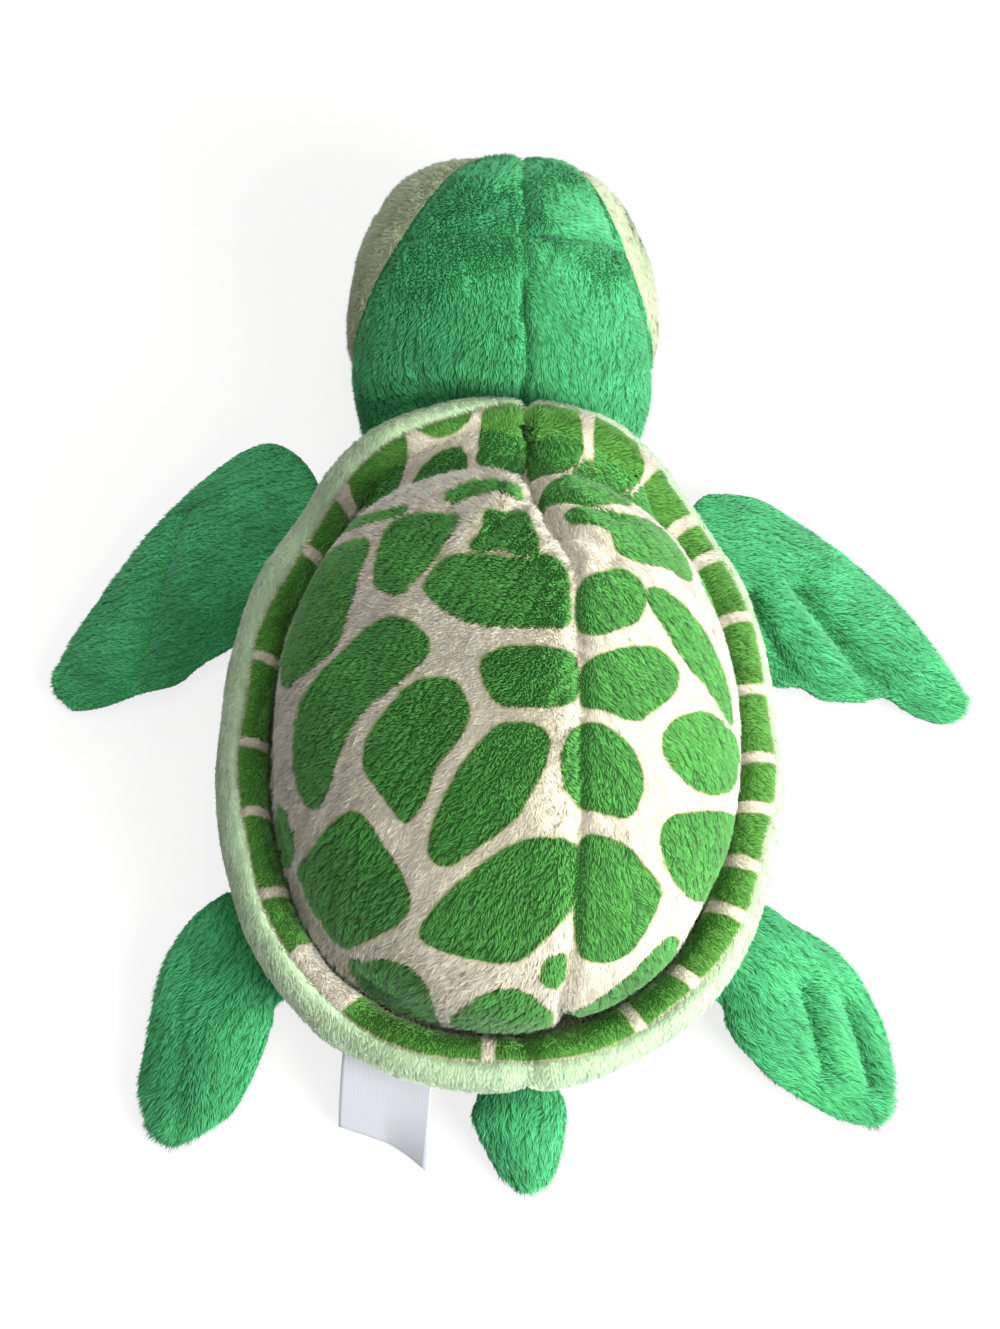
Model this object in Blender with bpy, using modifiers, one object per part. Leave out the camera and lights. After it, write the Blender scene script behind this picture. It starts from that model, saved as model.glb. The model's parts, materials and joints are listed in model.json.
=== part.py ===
"""Plush sea turtle lying on its belly: a stuffed body and shell, a nodding head, four sewn flippers, a tail.

Metres, +Z up. The nose points to +Y and the left side is at -X. The belly rests flat on Z = 0.
"""

import math

import bmesh
import bpy
from mathutils import Vector
from mathutils.bvhtree import BVHTree

# Cloth, stuffing and seams
CLOTH = 0.0012  # plush panel with its backing
SEAM_GAP = 0.0003  # between two panels that are sewn edge to edge
PACKING = 0.0004  # between a panel and the stuffing under it
SEAT = 0.0005  # between a sewn-on piece and the body it is sewn to

# Body, the flat pod under the shell
BODY_WIDTH = 0.086
BODY_LENGTH = 0.126
BODY_FRONT_Y = 0.0390
BODY_CENTRE_Y = BODY_FRONT_Y - BODY_LENGTH / 2.0
BODY_REAR_Y = BODY_FRONT_Y - BODY_LENGTH
BODY_SEAM_Z = 0.0085  # side seam between back and belly
BODY_BACK_RISE = 0.0100  # back above the side seam
BODY_BELLY_DROP = 0.0090  # belly under the side seam, before it is cut flat on Z = 0
NECK_RISE = 0.0070  # how much higher the back is at the neck
NECK_RISE_LENGTH = 0.0300
BODY_PLAN_POWER = 3.5
BODY_FULLNESS = 0.8  # under 1 rounds the side seam more fully

# Shell: stuffed dome, rolled rim round it, and the panel under both
SHELL_WIDTH = 0.1120
SHELL_LENGTH = 0.1436
SHELL_FRONT_Y = 0.0466  # the collar reaches this far over the neck
SHELL_CENTRE_Y = SHELL_FRONT_Y - SHELL_LENGTH / 2.0
SHELL_REAR_Y = SHELL_FRONT_Y - SHELL_LENGTH
SHELL_PLAN_POWER = 2.25
RIM_RADIUS = 0.0058
RIM_Z = 0.0235
COLLAR_RISE = 0.0150  # the rim rises over the neck like a collar
COLLAR_RISE_LENGTH = 0.0235
UNDERSIDE_CLOTH = 0.0010
UNDERSIDE_CROWN = 0.0030  # middle of the underside above its edge
PRINT_FROM_SHARE = 0.335  # where round the roll the printed strip starts and ends
PRINT_TO_SHARE = 1.20
EDGING_FROM_SHARE = -0.56
DOME_SIDE_LAP = 0.0012  # how far the dome bulges over the rim on each side
DOME_WIDTH = SHELL_WIDTH - 4.0 * RIM_RADIUS + 2.0 * DOME_SIDE_LAP
DOME_LENGTH = SHELL_LENGTH - 4.0 * RIM_RADIUS
DOME_BACK = 0.0020  # the dome sits this far behind the middle of the shell
DOME_CENTRE_Y = SHELL_CENTRE_Y - DOME_BACK
DOME_LEAN = 0.0018  # the dome leans to the right
DOME_PLAN_POWER = 2.12
DOME_WIDEST_Z = 0.0335
DOME_TOP_Z = 0.0630
DOME_TUCK = 0.0135  # how far below its widest the dome's foot curls in
DOME_BASE_Z = 0.0212
DOME_SEAM_X = 0.0080  # the centre seam sits right of the middle

# Head
NECK_TUCK = 0.0011  # the neck starts this far behind the front of the body
HEAD_ROOT_Y = BODY_FRONT_Y - NECK_TUCK
HEAD_SIDE = 0.0012  # the head sits right of the middle
HEAD_LENGTH = 0.0768
HEAD_WIDTH = 0.0680
HEAD_HEIGHT = 0.0540
HEAD_AXIS_Z = 0.0140
HEAD_FLOOR_GAP = 0.0004
NOD_AXIS_IN = 0.0130  # nod axis ahead of the back of the neck
CROSS_SEAM_SHARE = 0.545  # seam across the crown, along the head
FACE_SEAM_REAR_SHARE = 0.275  # where the face panels start at the sides, along the head
FACE_SEAM_FRONT_SHARE = 0.36  # how wide the brow still is at the snout, across the head
THROAT_Z = 0.0165  # top of the panel under the head
BROW_LOW_Z = 0.0265  # lower end of the brow on the snout

# Eyes with their lock washers
EYE_RADIUS = 0.0043
EYE_HEIGHT = 0.0022
EYE_SHANK_RADIUS = 0.0014
EYE_SHANK_LENGTH = 0.0090
EYE_FORWARD_SHARE = 0.640  # where the eye's axis crosses the middle, along the head
EYE_Z = 0.0265
EYE_TURN = math.radians(34)  # the eye's outward direction, ahead of straight sideways
EYE_TILT = math.radians(2)
MERGE_REACH = 0.00001  # joins the turned profile's ends on its axis
WASHER_RADIUS = 0.0048
WASHER_THICKNESS = 0.0010
WASHER_DEPTH = 0.0036  # washer behind the eye's back, past the panel

# Flippers and tail: each is a flat bag, sewn on along its root
FRONT_THICKNESS = 0.0096
FRONT_ROOT_WIDTH = 0.0330
REAR_THICKNESS = 0.0094
REAR_ROOT_WIDTH = 0.0230
ROOT_RADIUS = 0.0040  # rounded root, centred on the flapping axis
LIMB_FLOOR_GAP = 0.0004
TAIL_THICKNESS = 0.0088
TAIL_LENGTH = 0.0188  # flapping axis to tip
TAIL_ROOT_WIDTH = 0.0170
TAIL_SIDE = 0.0038  # the tail sits right of the middle
TAIL_HEADING = math.radians(-86)

FRONT_LEFT_LENGTH = 0.0566  # flapping axis to tip
FRONT_LEFT_BACK = 0.0185  # middle of the root behind the front of the body
FRONT_RIGHT_LENGTH = 0.0608
FRONT_RIGHT_BACK = 0.0205
REAR_LEFT_LENGTH = 0.0419
REAR_RIGHT_LENGTH = 0.0439
REAR_AHEAD = 0.0250  # middle of the rear roots ahead of the rear of the body

# Each flipper: side, middle of its root, length, and the way its tip points, below straight sideways
FLIPPERS = {
    "front_flipper_left": (
        -1,
        BODY_FRONT_Y - FRONT_LEFT_BACK,
        FRONT_LEFT_LENGTH,
        math.radians(24.5),
    ),
    "front_flipper_right": (
        1,
        BODY_FRONT_Y - FRONT_RIGHT_BACK,
        FRONT_RIGHT_LENGTH,
        math.radians(25.8),
    ),
    "rear_flipper_left": (-1, BODY_REAR_Y + REAR_AHEAD, REAR_LEFT_LENGTH, math.radians(61.5)),
    "rear_flipper_right": (1, BODY_REAR_Y + REAR_AHEAD, REAR_RIGHT_LENGTH, math.radians(47.6)),
}

# Sewn-in label under the left rear of the rim
LABEL_WIDTH = 0.0175
LABEL_LENGTH = 0.0195
LABEL_THICKNESS = 0.0004
LABEL_X = -0.0205
LABEL_AHEAD = 0.0120  # the sewn edge ahead of the rear of the shell
LABEL_Y = SHELL_REAR_Y + LABEL_AHEAD
LABEL_DROP = math.radians(43)
LABEL_TIP_SAG = 0.0010
LABEL_TURN = math.radians(-6)
LABEL_CORNER = 0.0030
LABEL_SINK = 0.0006  # sewn edge below the underside panel

# Shapes as shares of their own length, width and height, hand-drawn
# Limb rows: front edge then rear edge, each outwards and ahead of the root, of the limb's length
FRONT_LEFT_SHARES = (
    (-0.08, 0.41, 0.17, -0.28),
    (0.01, 0.54, 0.26, -0.33),
    (0.13, 0.60, 0.34, -0.38),
    (0.26, 0.55, 0.42, -0.45),
    (0.41, 0.42, 0.53, -0.48),
    (0.56, 0.25, 0.64, -0.52),
    (0.70, 0.04, 0.74, -0.54),
    (0.83, -0.19, 0.82, -0.54),
    (0.89, -0.33, 0.87, -0.49),
)
FRONT_RIGHT_SHARES = (
    (-0.05, 0.31, 0.14, -0.32),
    (0.01, 0.37, 0.20, -0.39),
    (0.11, 0.38, 0.28, -0.43),
    (0.22, 0.36, 0.37, -0.45),
    (0.35, 0.27, 0.47, -0.45),
    (0.49, 0.16, 0.57, -0.46),
    (0.62, 0.04, 0.66, -0.48),
    (0.75, -0.12, 0.74, -0.51),
    (0.84, -0.27, 0.81, -0.52),
    (0.89, -0.38, 0.87, -0.49),
)
REAR_LEFT_SHARES = (
    (0.19, 0.31, -0.05, -0.35),
    (0.32, 0.23, -0.03, -0.42),
    (0.42, 0.11, -0.01, -0.49),
    (0.50, -0.05, 0.02, -0.57),
    (0.54, -0.23, 0.06, -0.66),
    (0.57, -0.43, 0.12, -0.76),
    (0.59, -0.62, 0.23, -0.84),
    (0.55, -0.76, 0.35, -0.90),
)
REAR_RIGHT_SHARES = (
    (0.18, 0.23, -0.04, -0.34),
    (0.30, 0.15, 0.00, -0.42),
    (0.42, 0.08, 0.08, -0.51),
    (0.53, -0.01, 0.16, -0.59),
    (0.62, -0.14, 0.27, -0.66),
    (0.69, -0.30, 0.39, -0.73),
    (0.72, -0.48, 0.50, -0.77),
    (0.71, -0.64, 0.59, -0.78),
)
FLIPPER_SHARES = {
    "front_flipper_left": FRONT_LEFT_SHARES,
    "front_flipper_right": FRONT_RIGHT_SHARES,
    "rear_flipper_left": REAR_LEFT_SHARES,
    "rear_flipper_right": REAR_RIGHT_SHARES,
}
TAIL_SHARES = (
    (0.20, 0.49, 0.20, -0.49),
    (0.45, 0.45, 0.45, -0.45),
    (0.70, 0.35, 0.70, -0.35),
    (0.88, 0.23, 0.88, -0.23),
)
HEAD_SHARES = (  # along, half width, crown, chin, the last two from the neck's middle height
    (0.000, 0.25, 0.02, 0.02),
    (0.013, 0.50, 0.13, 0.28),
    (0.037, 0.64, 0.22, 0.48),
    (0.069, 0.74, 0.32, 0.66),
    (0.110, 0.82, 0.43, 0.81),
    (0.165, 0.89, 0.60, 0.92),
    (0.240, 0.945, 0.80, 0.98),
    (0.340, 0.985, 0.92, 1.00),
    (0.450, 1.00, 0.99, 1.00),
    (0.570, 0.985, 1.00, 0.99),
    (0.690, 0.93, 0.96, 0.96),
    (0.800, 0.82, 0.86, 0.84),
    (0.885, 0.67, 0.71, 0.65),
    (0.945, 0.48, 0.52, 0.40),
    (0.985, 0.24, 0.32, 0.12),
)

SNOUT_RISE_SHARE = 0.20  # snout above the nod axis, of the crown's height
ROOT_TURN_SHARES = (0.22, 0.55)  # rings round the rounded root
TIP_SHARES = ((0.62, 0.74), (0.90, 0.40))  # rings past the last row: along, and size
FULL_SHARE = 0.22  # how far out a limb has its full thickness
TAPER_SHARE = 0.42  # how much thinner a limb's tip is than its root
TAPER_FROM_SHARE = 0.35
LABEL_CORNER_SHARE = 0.49  # what counts as a corner of the ribbon, across and from its middle

# Mesh fineness
LIMB_SIDES = 10
HEAD_SIDES = 18
BODY_SIDES = 24
BODY_RINGS = 10
DOME_SIDES = 24
DOME_RINGS = 12
RIM_STEPS = 20
STRIP_STEPS = 5
TUBE_SIDES = 8
UNDERSIDE_SIDES = 28
UNDERSIDE_RINGS = 7
EYE_STEPS = 4
EYE_SIDES = 12

CLOTH_COLOURS = {
    "plush_print": (0.13, 0.40, 0.10, 1.0),
    "plush_pale": (0.60, 0.80, 0.45, 1.0),
    "plush_mint": (0.10, 0.50, 0.20, 1.0),
    "fibre_filling": (0.85, 0.85, 0.82, 1.0),
    "satin_label": (0.90, 0.90, 0.92, 1.0),
    "black_plastic": (0.01, 0.01, 0.01, 1.0),
    "white_plastic": (0.75, 0.75, 0.73, 1.0),
}
CLOTH_ROUGHNESS = {"satin_label": 0.45, "black_plastic": 0.12, "white_plastic": 0.5}


def clear_scene():
    for obj in list(bpy.data.objects):
        bpy.data.objects.remove(obj, do_unlink=True)


def new_collection(name):
    collection = bpy.data.collections.new(name)
    bpy.context.scene.collection.children.link(collection)
    return collection


def new_material(name, slot):
    """One material per piece, with the colour and roughness of what it is made of."""
    material = bpy.data.materials.new(name + "_" + slot)
    material.use_nodes = True
    shader = material.node_tree.nodes["Principled BSDF"]
    shader.inputs["Base Color"].default_value = CLOTH_COLOURS[slot]
    shader.inputs["Roughness"].default_value = CLOTH_ROUGHNESS.get(slot, 0.95)
    shader.inputs["Metallic"].default_value = 0.0
    return material


def facing_out(bm):
    """Turns every face of a closed surface outwards."""
    bmesh.ops.recalc_face_normals(bm, faces=bm.faces[:])
    if bm.calc_volume(signed=True) < 0.0:
        bmesh.ops.reverse_faces(bm, faces=bm.faces[:])
    bm.normal_update()


def new_piece(name, bm, slot, axis=None):
    """Turns the bmesh, which is in its parent's frame, into a smooth-shaded object."""
    facing_out(bm)
    mesh = bpy.data.meshes.new(name)
    bm.to_mesh(mesh)
    bm.free()
    mesh.shade_smooth()
    mesh.set_sharp_from_angle(angle=math.radians(50))
    obj = bpy.data.objects.new(name, mesh)
    obj.data.materials.append(new_material(name, slot))
    PARTS.objects.link(obj)
    obj.parent = axis or TURTLE
    return obj


def new_axis(name, location, rotation=(0.0, 0.0, 0.0)):
    """An empty on a joint's axis, which carries the pieces that move about it."""
    empty = bpy.data.objects.new(name, None)
    empty.empty_display_size = ROOT_RADIUS
    empty.location = location
    empty.rotation_euler = rotation
    empty.parent = TURTLE
    PARTS.objects.link(empty)
    return empty


def smooth_step(value):
    value = min(max(value, 0.0), 1.0)
    return value * value * (3.0 - 2.0 * value)


def rounded(value, power):
    """The share of a full half width at a share of the half height, on a superellipse."""
    return max(1.0 - abs(value) ** power, 0.0) ** (1.0 / power)


def oval_radius(angle, width, length, power):
    """Distance from the centre to the edge of a rounded plan shape."""
    across = abs(math.cos(angle)) / (width / 2.0)
    along = abs(math.sin(angle)) / (length / 2.0)
    return (across**power + along**power) ** (-1.0 / power)


def ball(sides, rings, shape):
    """A UV sphere whose points are moved by shape, a function of longitude and polar angle."""
    bm = bmesh.new()
    bmesh.ops.create_uvsphere(bm, u_segments=sides, v_segments=rings, radius=1.0)
    for vert in bm.verts:
        polar = math.acos(min(max(vert.co.z, -1.0), 1.0))
        around = math.atan2(vert.co.y, vert.co.x)
        vert.co = shape(around, polar)
    return bm


def lofted(stations, sides):
    """A closed bag through stations: (centre, half width across, half height up, half height down)."""
    rings = len(stations) - 1

    def shape(around, polar):
        index = round(polar / math.pi * rings)
        centre, across, up, down = stations[index]
        wide = math.cos(around)
        high = math.sin(around)
        return centre + across * wide + (up if high > 0.0 else down) * abs(high)

    return ball(sides, rings, shape)


def pushed_in(bm, depth):
    """Moves a closed surface inwards by depth."""
    facing_out(bm)
    moves = {v: v.normal * (depth * v.calc_shell_factor()) for v in bm.verts}
    for vert, move in moves.items():
        vert.co -= move
    return bm


def hollowed(bm, cloth):
    """Turns a closed surface into a skin of this thickness, with its inner wall facing in."""
    facing_out(bm)
    moves = {v: v.normal * (cloth * v.calc_shell_factor()) for v in bm.verts}
    outer = bm.verts[:]
    copied = bmesh.ops.duplicate(bm, geom=bm.faces[:] + bm.edges[:] + outer)
    for vert in outer:
        twin = copied["vert_map"][vert]
        twin.co = vert.co - moves[vert]
    inner = [face for face in copied["geom"] if isinstance(face, bmesh.types.BMFace)]
    bmesh.ops.reverse_faces(bm, faces=inner)
    return bm


def trimmed(bm, point, outward):
    """Cuts away what lies beyond a plane and caps the cut."""
    whole = bm.verts[:] + bm.edges[:] + bm.faces[:]
    cut = bmesh.ops.bisect_plane(
        bm, geom=whole, plane_co=point, plane_no=outward, clear_outer=True
    )
    edges = [e for e in cut["geom_cut"] if isinstance(e, bmesh.types.BMEdge)]
    bmesh.ops.triangle_fill(bm, use_beauty=True, use_dissolve=False, edges=edges)
    return bm


def body_form(depth=0.0):
    """The body's bag, higher at the neck, with its underside cut flat where it rests."""

    def shape(around, polar):
        reach = math.sin(polar) * oval_radius(around, BODY_WIDTH, BODY_LENGTH, BODY_PLAN_POWER)
        x = reach * math.cos(around)
        y = reach * math.sin(around) + BODY_CENTRE_Y
        lift = math.copysign(abs(math.cos(polar)) ** BODY_FULLNESS, math.cos(polar))
        neck = smooth_step((y - BODY_FRONT_Y + NECK_RISE_LENGTH) / NECK_RISE_LENGTH)
        rise = BODY_BACK_RISE + NECK_RISE * neck if lift > 0.0 else BODY_BELLY_DROP
        return Vector((x, y, BODY_SEAM_Z + rise * lift))

    return pushed_in(ball(BODY_SIDES, BODY_RINGS, shape), depth)


def build_body():
    """Back and belly panels round the body's stuffing."""
    up = Vector((0.0, 0.0, 1.0))
    seam = Vector((0.0, 0.0, BODY_SEAM_Z))
    half_gap = up * (SEAM_GAP / 2.0)
    back = hollowed(body_form(), CLOTH)
    new_piece("body_back_panel", trimmed(back, seam + half_gap, -up), "plush_mint")
    belly = trimmed(hollowed(body_form(), CLOTH), seam - half_gap, up)
    new_piece("body_belly_panel", trimmed(belly, Vector(), -up), "plush_pale")
    new_piece("body_filling", body_form(CLOTH + PACKING), "fibre_filling")


def collar(y):
    """How far the rim is raised at this distance along the turtle."""
    front = SHELL_FRONT_Y - RIM_RADIUS
    return COLLAR_RISE * smooth_step((y - front + COLLAR_RISE_LENGTH) / COLLAR_RISE_LENGTH)


def rim_point(around):
    """Centre of the rim's roll at this angle in plan, and the roll's outward direction."""
    width = SHELL_WIDTH - 2.0 * RIM_RADIUS
    length = SHELL_LENGTH - 2.0 * RIM_RADIUS

    def at(angle):
        reach = oval_radius(angle, width, length, SHELL_PLAN_POWER)
        y = reach * math.sin(angle) + SHELL_CENTRE_Y
        return Vector((reach * math.cos(angle), y, RIM_Z + collar(y)))

    step = math.pi / (8.0 * RIM_STEPS)
    run = at(around + step) - at(around - step)
    outward = Vector((run.y, -run.x, 0.0)).normalized()
    return at(around), outward


def rim_side(side, share, trim):
    """The plan angle at a share of one half of the rim, from its front seam to its rear seam."""
    room = trim / (SHELL_WIDTH / 2.0)
    turn = room + (math.pi - 2.0 * room) * share
    return math.pi / 2.0 - side * turn


def rim_strip(side, first_share, last_share):
    """A strip of cloth round half of the rim, between two places round the roll."""
    bm = bmesh.new()
    bmesh.ops.create_grid(bm, x_segments=RIM_STEPS, y_segments=STRIP_STEPS, size=0.5)
    outer = bm.verts[:]
    border = [edge for edge in bm.edges if edge.is_boundary]
    copied = bmesh.ops.duplicate(bm, geom=bm.faces[:] + bm.edges[:] + outer)
    for vert in outer:
        centre, outward = rim_point(rim_side(side, vert.co.x + 0.5, SEAM_GAP))
        turn = math.pi * (first_share + (last_share - first_share) * (vert.co.y + 0.5))
        way = outward * math.cos(turn) + Vector((0.0, 0.0, math.sin(turn)))
        copied["vert_map"][vert].co = centre + way * (RIM_RADIUS - CLOTH)
        vert.co = centre + way * RIM_RADIUS
    border += [copied["edge_map"][edge] for edge in border]
    bmesh.ops.bridge_loops(bm, edges=border)
    return bm


def wrapped(name, bm, slot, cloth):
    """An open cloth surface, given its thickness on the inner side by Solidify."""
    mesh = bpy.data.meshes.new(name)
    bm.to_mesh(mesh)
    bm.free()
    mesh.shade_smooth()
    obj = bpy.data.objects.new(name, mesh)
    obj.data.materials.append(new_material(name, slot))
    PARTS.objects.link(obj)
    obj.parent = TURTLE
    solidify = obj.modifiers.new("cloth", "SOLIDIFY")
    solidify.thickness = cloth
    solidify.offset = -1.0
    solidify.use_even_offset = True
    return obj


def build_rim():
    """The rolled rim: printed strip on top, pale edging outside it, and a roll of stuffing."""
    gap_share = SEAM_GAP / (math.pi * RIM_RADIUS)
    inner = RIM_RADIUS - CLOTH - PACKING
    for side, hand in ((-1, "left"), (1, "right")):
        strip = rim_strip(side, PRINT_FROM_SHARE + gap_share, PRINT_TO_SHARE)
        new_piece("shell_rim_strip_" + hand, strip, "plush_print")
        edging = rim_strip(side, EDGING_FROM_SHARE, PRINT_FROM_SHARE)
        new_piece("shell_edging_" + hand, edging, "plush_pale")
        stations = []
        for step in range(RIM_STEPS + 1):
            share = step / RIM_STEPS
            centre, outward = rim_point(rim_side(side, share, SEAM_GAP))
            closing = min(share, 1.0 - share) * math.pi * SHELL_LENGTH / 2.0
            size = inner * rounded(max(1.0 - closing / inner, 0.0), 2.0)
            up = Vector((0.0, 0.0, size))
            stations.append((centre, outward * size, up, -up))
        new_piece("shell_rim_filling_" + hand, lofted(stations, TUBE_SIDES), "fibre_filling")


def underside_height(x, y):
    """Top face of the panel under the shell, which follows the rim's lower side."""
    width = SHELL_WIDTH / 2.0 - RIM_RADIUS
    length = SHELL_LENGTH / 2.0 - RIM_RADIUS
    out = (x / width) ** 2 + ((y - SHELL_CENTRE_Y) / length) ** 2
    edge = RIM_Z - RIM_RADIUS - SEAT - SEAM_GAP
    return edge + UNDERSIDE_CROWN * (1.0 - min(out, 1.0)) + collar(y)


def build_underside():
    """The pale panel that closes the shell from below."""
    width = SHELL_WIDTH - 2.0 * RIM_RADIUS
    length = SHELL_LENGTH - 2.0 * RIM_RADIUS

    def shape(around, polar):
        reach = min(polar / (math.pi / 2.0), 1.0)
        reach *= oval_radius(around, width, length, SHELL_PLAN_POWER)
        x = reach * math.cos(around)
        y = reach * math.sin(around) + SHELL_CENTRE_Y
        return Vector((x, y, underside_height(x, y)))

    bm = bmesh.new()
    bmesh.ops.create_uvsphere(
        bm, u_segments=UNDERSIDE_SIDES, v_segments=2 * UNDERSIDE_RINGS, radius=1.0
    )
    lower = [v for v in bm.verts if v.co.z < -0.5 / UNDERSIDE_RINGS]
    bmesh.ops.delete(bm, geom=lower, context="VERTS")
    for vert in bm.verts:
        polar = math.acos(min(max(vert.co.z, -1.0), 1.0))
        vert.co = shape(math.atan2(vert.co.y, vert.co.x), polar)
    wrapped("shell_underside_panel", bm, "plush_pale", UNDERSIDE_CLOTH)


def dome_form(depth=0.0):
    """The stuffed dome, whose foot curls in behind the rim."""

    def shape(around, polar):
        lift = math.cos(polar)
        if lift >= 0.0:
            reach = math.sin(polar)
            z = DOME_WIDEST_Z + (DOME_TOP_Z - DOME_WIDEST_Z) * lift
        else:
            reach = math.sin(polar)
            z = DOME_WIDEST_Z - DOME_TUCK * rounded(reach, 3.0)
        radius = reach * oval_radius(around, DOME_WIDTH, DOME_LENGTH, DOME_PLAN_POWER)
        x = radius * math.cos(around) + DOME_LEAN
        return Vector((x, radius * math.sin(around) + DOME_CENTRE_Y, z))

    return pushed_in(ball(DOME_SIDES, DOME_RINGS, shape), depth)


def build_dome():
    """Two printed panels that meet on the centre seam, over the dome's stuffing."""
    base = Vector((0.0, 0.0, DOME_BASE_Z))
    down = Vector((0.0, 0.0, -1.0))
    for side, hand in ((-1, "left"), (1, "right")):
        seam = Vector((DOME_SEAM_X + side * SEAM_GAP / 2.0, 0.0, 0.0))
        panel = trimmed(hollowed(dome_form(), CLOTH), seam, Vector((-side, 0.0, 0.0)))
        new_piece("shell_dome_panel_" + hand, trimmed(panel, base, down), "plush_print")
    filling = trimmed(dome_form(CLOTH + PACKING), base, down)
    new_piece("shell_dome_filling", filling, "fibre_filling")


def head_stations():
    """Rings from the back of the neck to the snout, in the nod axis's frame."""
    up = Vector((0.0, 0.0, 1.0))
    across = Vector((HEAD_WIDTH / 2.0, 0.0, 0.0))
    crown = HEAD_HEIGHT + HEAD_FLOOR_GAP - HEAD_AXIS_Z
    chin = HEAD_AXIS_Z - HEAD_FLOOR_GAP
    back = Vector((0.0, -NOD_AXIS_IN, 0.0))
    snout = back + Vector((0.0, HEAD_LENGTH, crown * SNOUT_RISE_SHARE))
    stations = [(back, Vector(), Vector(), Vector())]
    for along, wide, high, low in HEAD_SHARES[1:]:
        centre = back + Vector((0.0, HEAD_LENGTH * along, 0.0))
        middle = up * ((crown * high - chin * low) / 2.0)
        half = up * ((crown * high + chin * low) / 2.0)
        stations.append((centre + middle, -across * wide, half, -half))
    stations.append((snout, Vector(), Vector(), Vector()))
    return stations


def head_form(depth=0.0):
    return pushed_in(lofted(head_stations(), HEAD_SIDES), depth)


def head_panel(name, slot, planes, axis):
    """Part of the head's skin, on the inner side of each plane: (point, outward direction)."""
    bm = hollowed(head_form(), CLOTH)
    for point, outward in planes:
        outward = outward.normalized()
        trimmed(bm, point - outward * (SEAM_GAP / 2.0), outward)
    return new_piece(name, bm, slot, axis)


def eye_frame(side):
    """Where the eye sits on the head, and the way it faces, in the nod axis's frame."""
    outward = Vector(
        (
            side * math.cos(EYE_TURN) * math.cos(EYE_TILT),
            math.sin(EYE_TURN) * math.cos(EYE_TILT),
            math.sin(EYE_TILT),
        )
    )
    inside = Vector((0.0, HEAD_LENGTH * EYE_FORWARD_SHARE - NOD_AXIS_IN, EYE_Z - HEAD_AXIS_Z))
    bm = head_form()
    place, outward = BVHTree.FromBMesh(bm).ray_cast(inside, outward)[:2]
    bm.free()
    return place, outward


def turned(name, profile, slot, axis, place, outward):
    """A turned piece: a profile in the XZ plane, swept about Z by Screw, then pointed outward."""
    mesh = bpy.data.meshes.new(name)
    bm = bmesh.new()
    verts = [bm.verts.new((radius, 0.0, height)) for radius, height in profile]
    for first, second in zip(verts, verts[1:]):
        bm.edges.new((first, second))
    bm.to_mesh(mesh)
    bm.free()
    obj = bpy.data.objects.new(name, mesh)
    obj.data.materials.append(new_material(name, slot))
    PARTS.objects.link(obj)
    obj.parent = axis
    obj.location = place
    obj.rotation_euler = outward.to_track_quat("Z", "Y").to_euler()
    screw = obj.modifiers.new("turn", "SCREW")
    screw.steps = EYE_SIDES
    screw.render_steps = EYE_SIDES
    screw.use_merge_vertices = True
    screw.merge_threshold = MERGE_REACH
    screw.use_smooth_shade = True
    return obj


def new_cutter(name, radius, length, axis, place, outward):
    """A hidden cylinder that reaches from outside the head down its length, along an eye's axis."""
    bm = bmesh.new()
    bmesh.ops.create_cone(
        bm, cap_ends=True, segments=EYE_SIDES, radius1=radius, radius2=radius, depth=2.0 * length
    )
    mesh = bpy.data.meshes.new(name)
    bm.to_mesh(mesh)
    bm.free()
    obj = bpy.data.objects.new(name, mesh)
    CUTTERS.objects.link(obj)
    obj.parent = axis
    obj.location = place
    obj.rotation_euler = outward.to_track_quat("Z", "Y").to_euler()
    obj.hide_render = True
    obj.display_type = "WIRE"
    return obj


def cut_with(obj, cutter):
    boolean = obj.modifiers.new(cutter.name, "BOOLEAN")
    boolean.operation = "DIFFERENCE"
    boolean.solver = "EXACT"
    boolean.object = cutter


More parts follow.
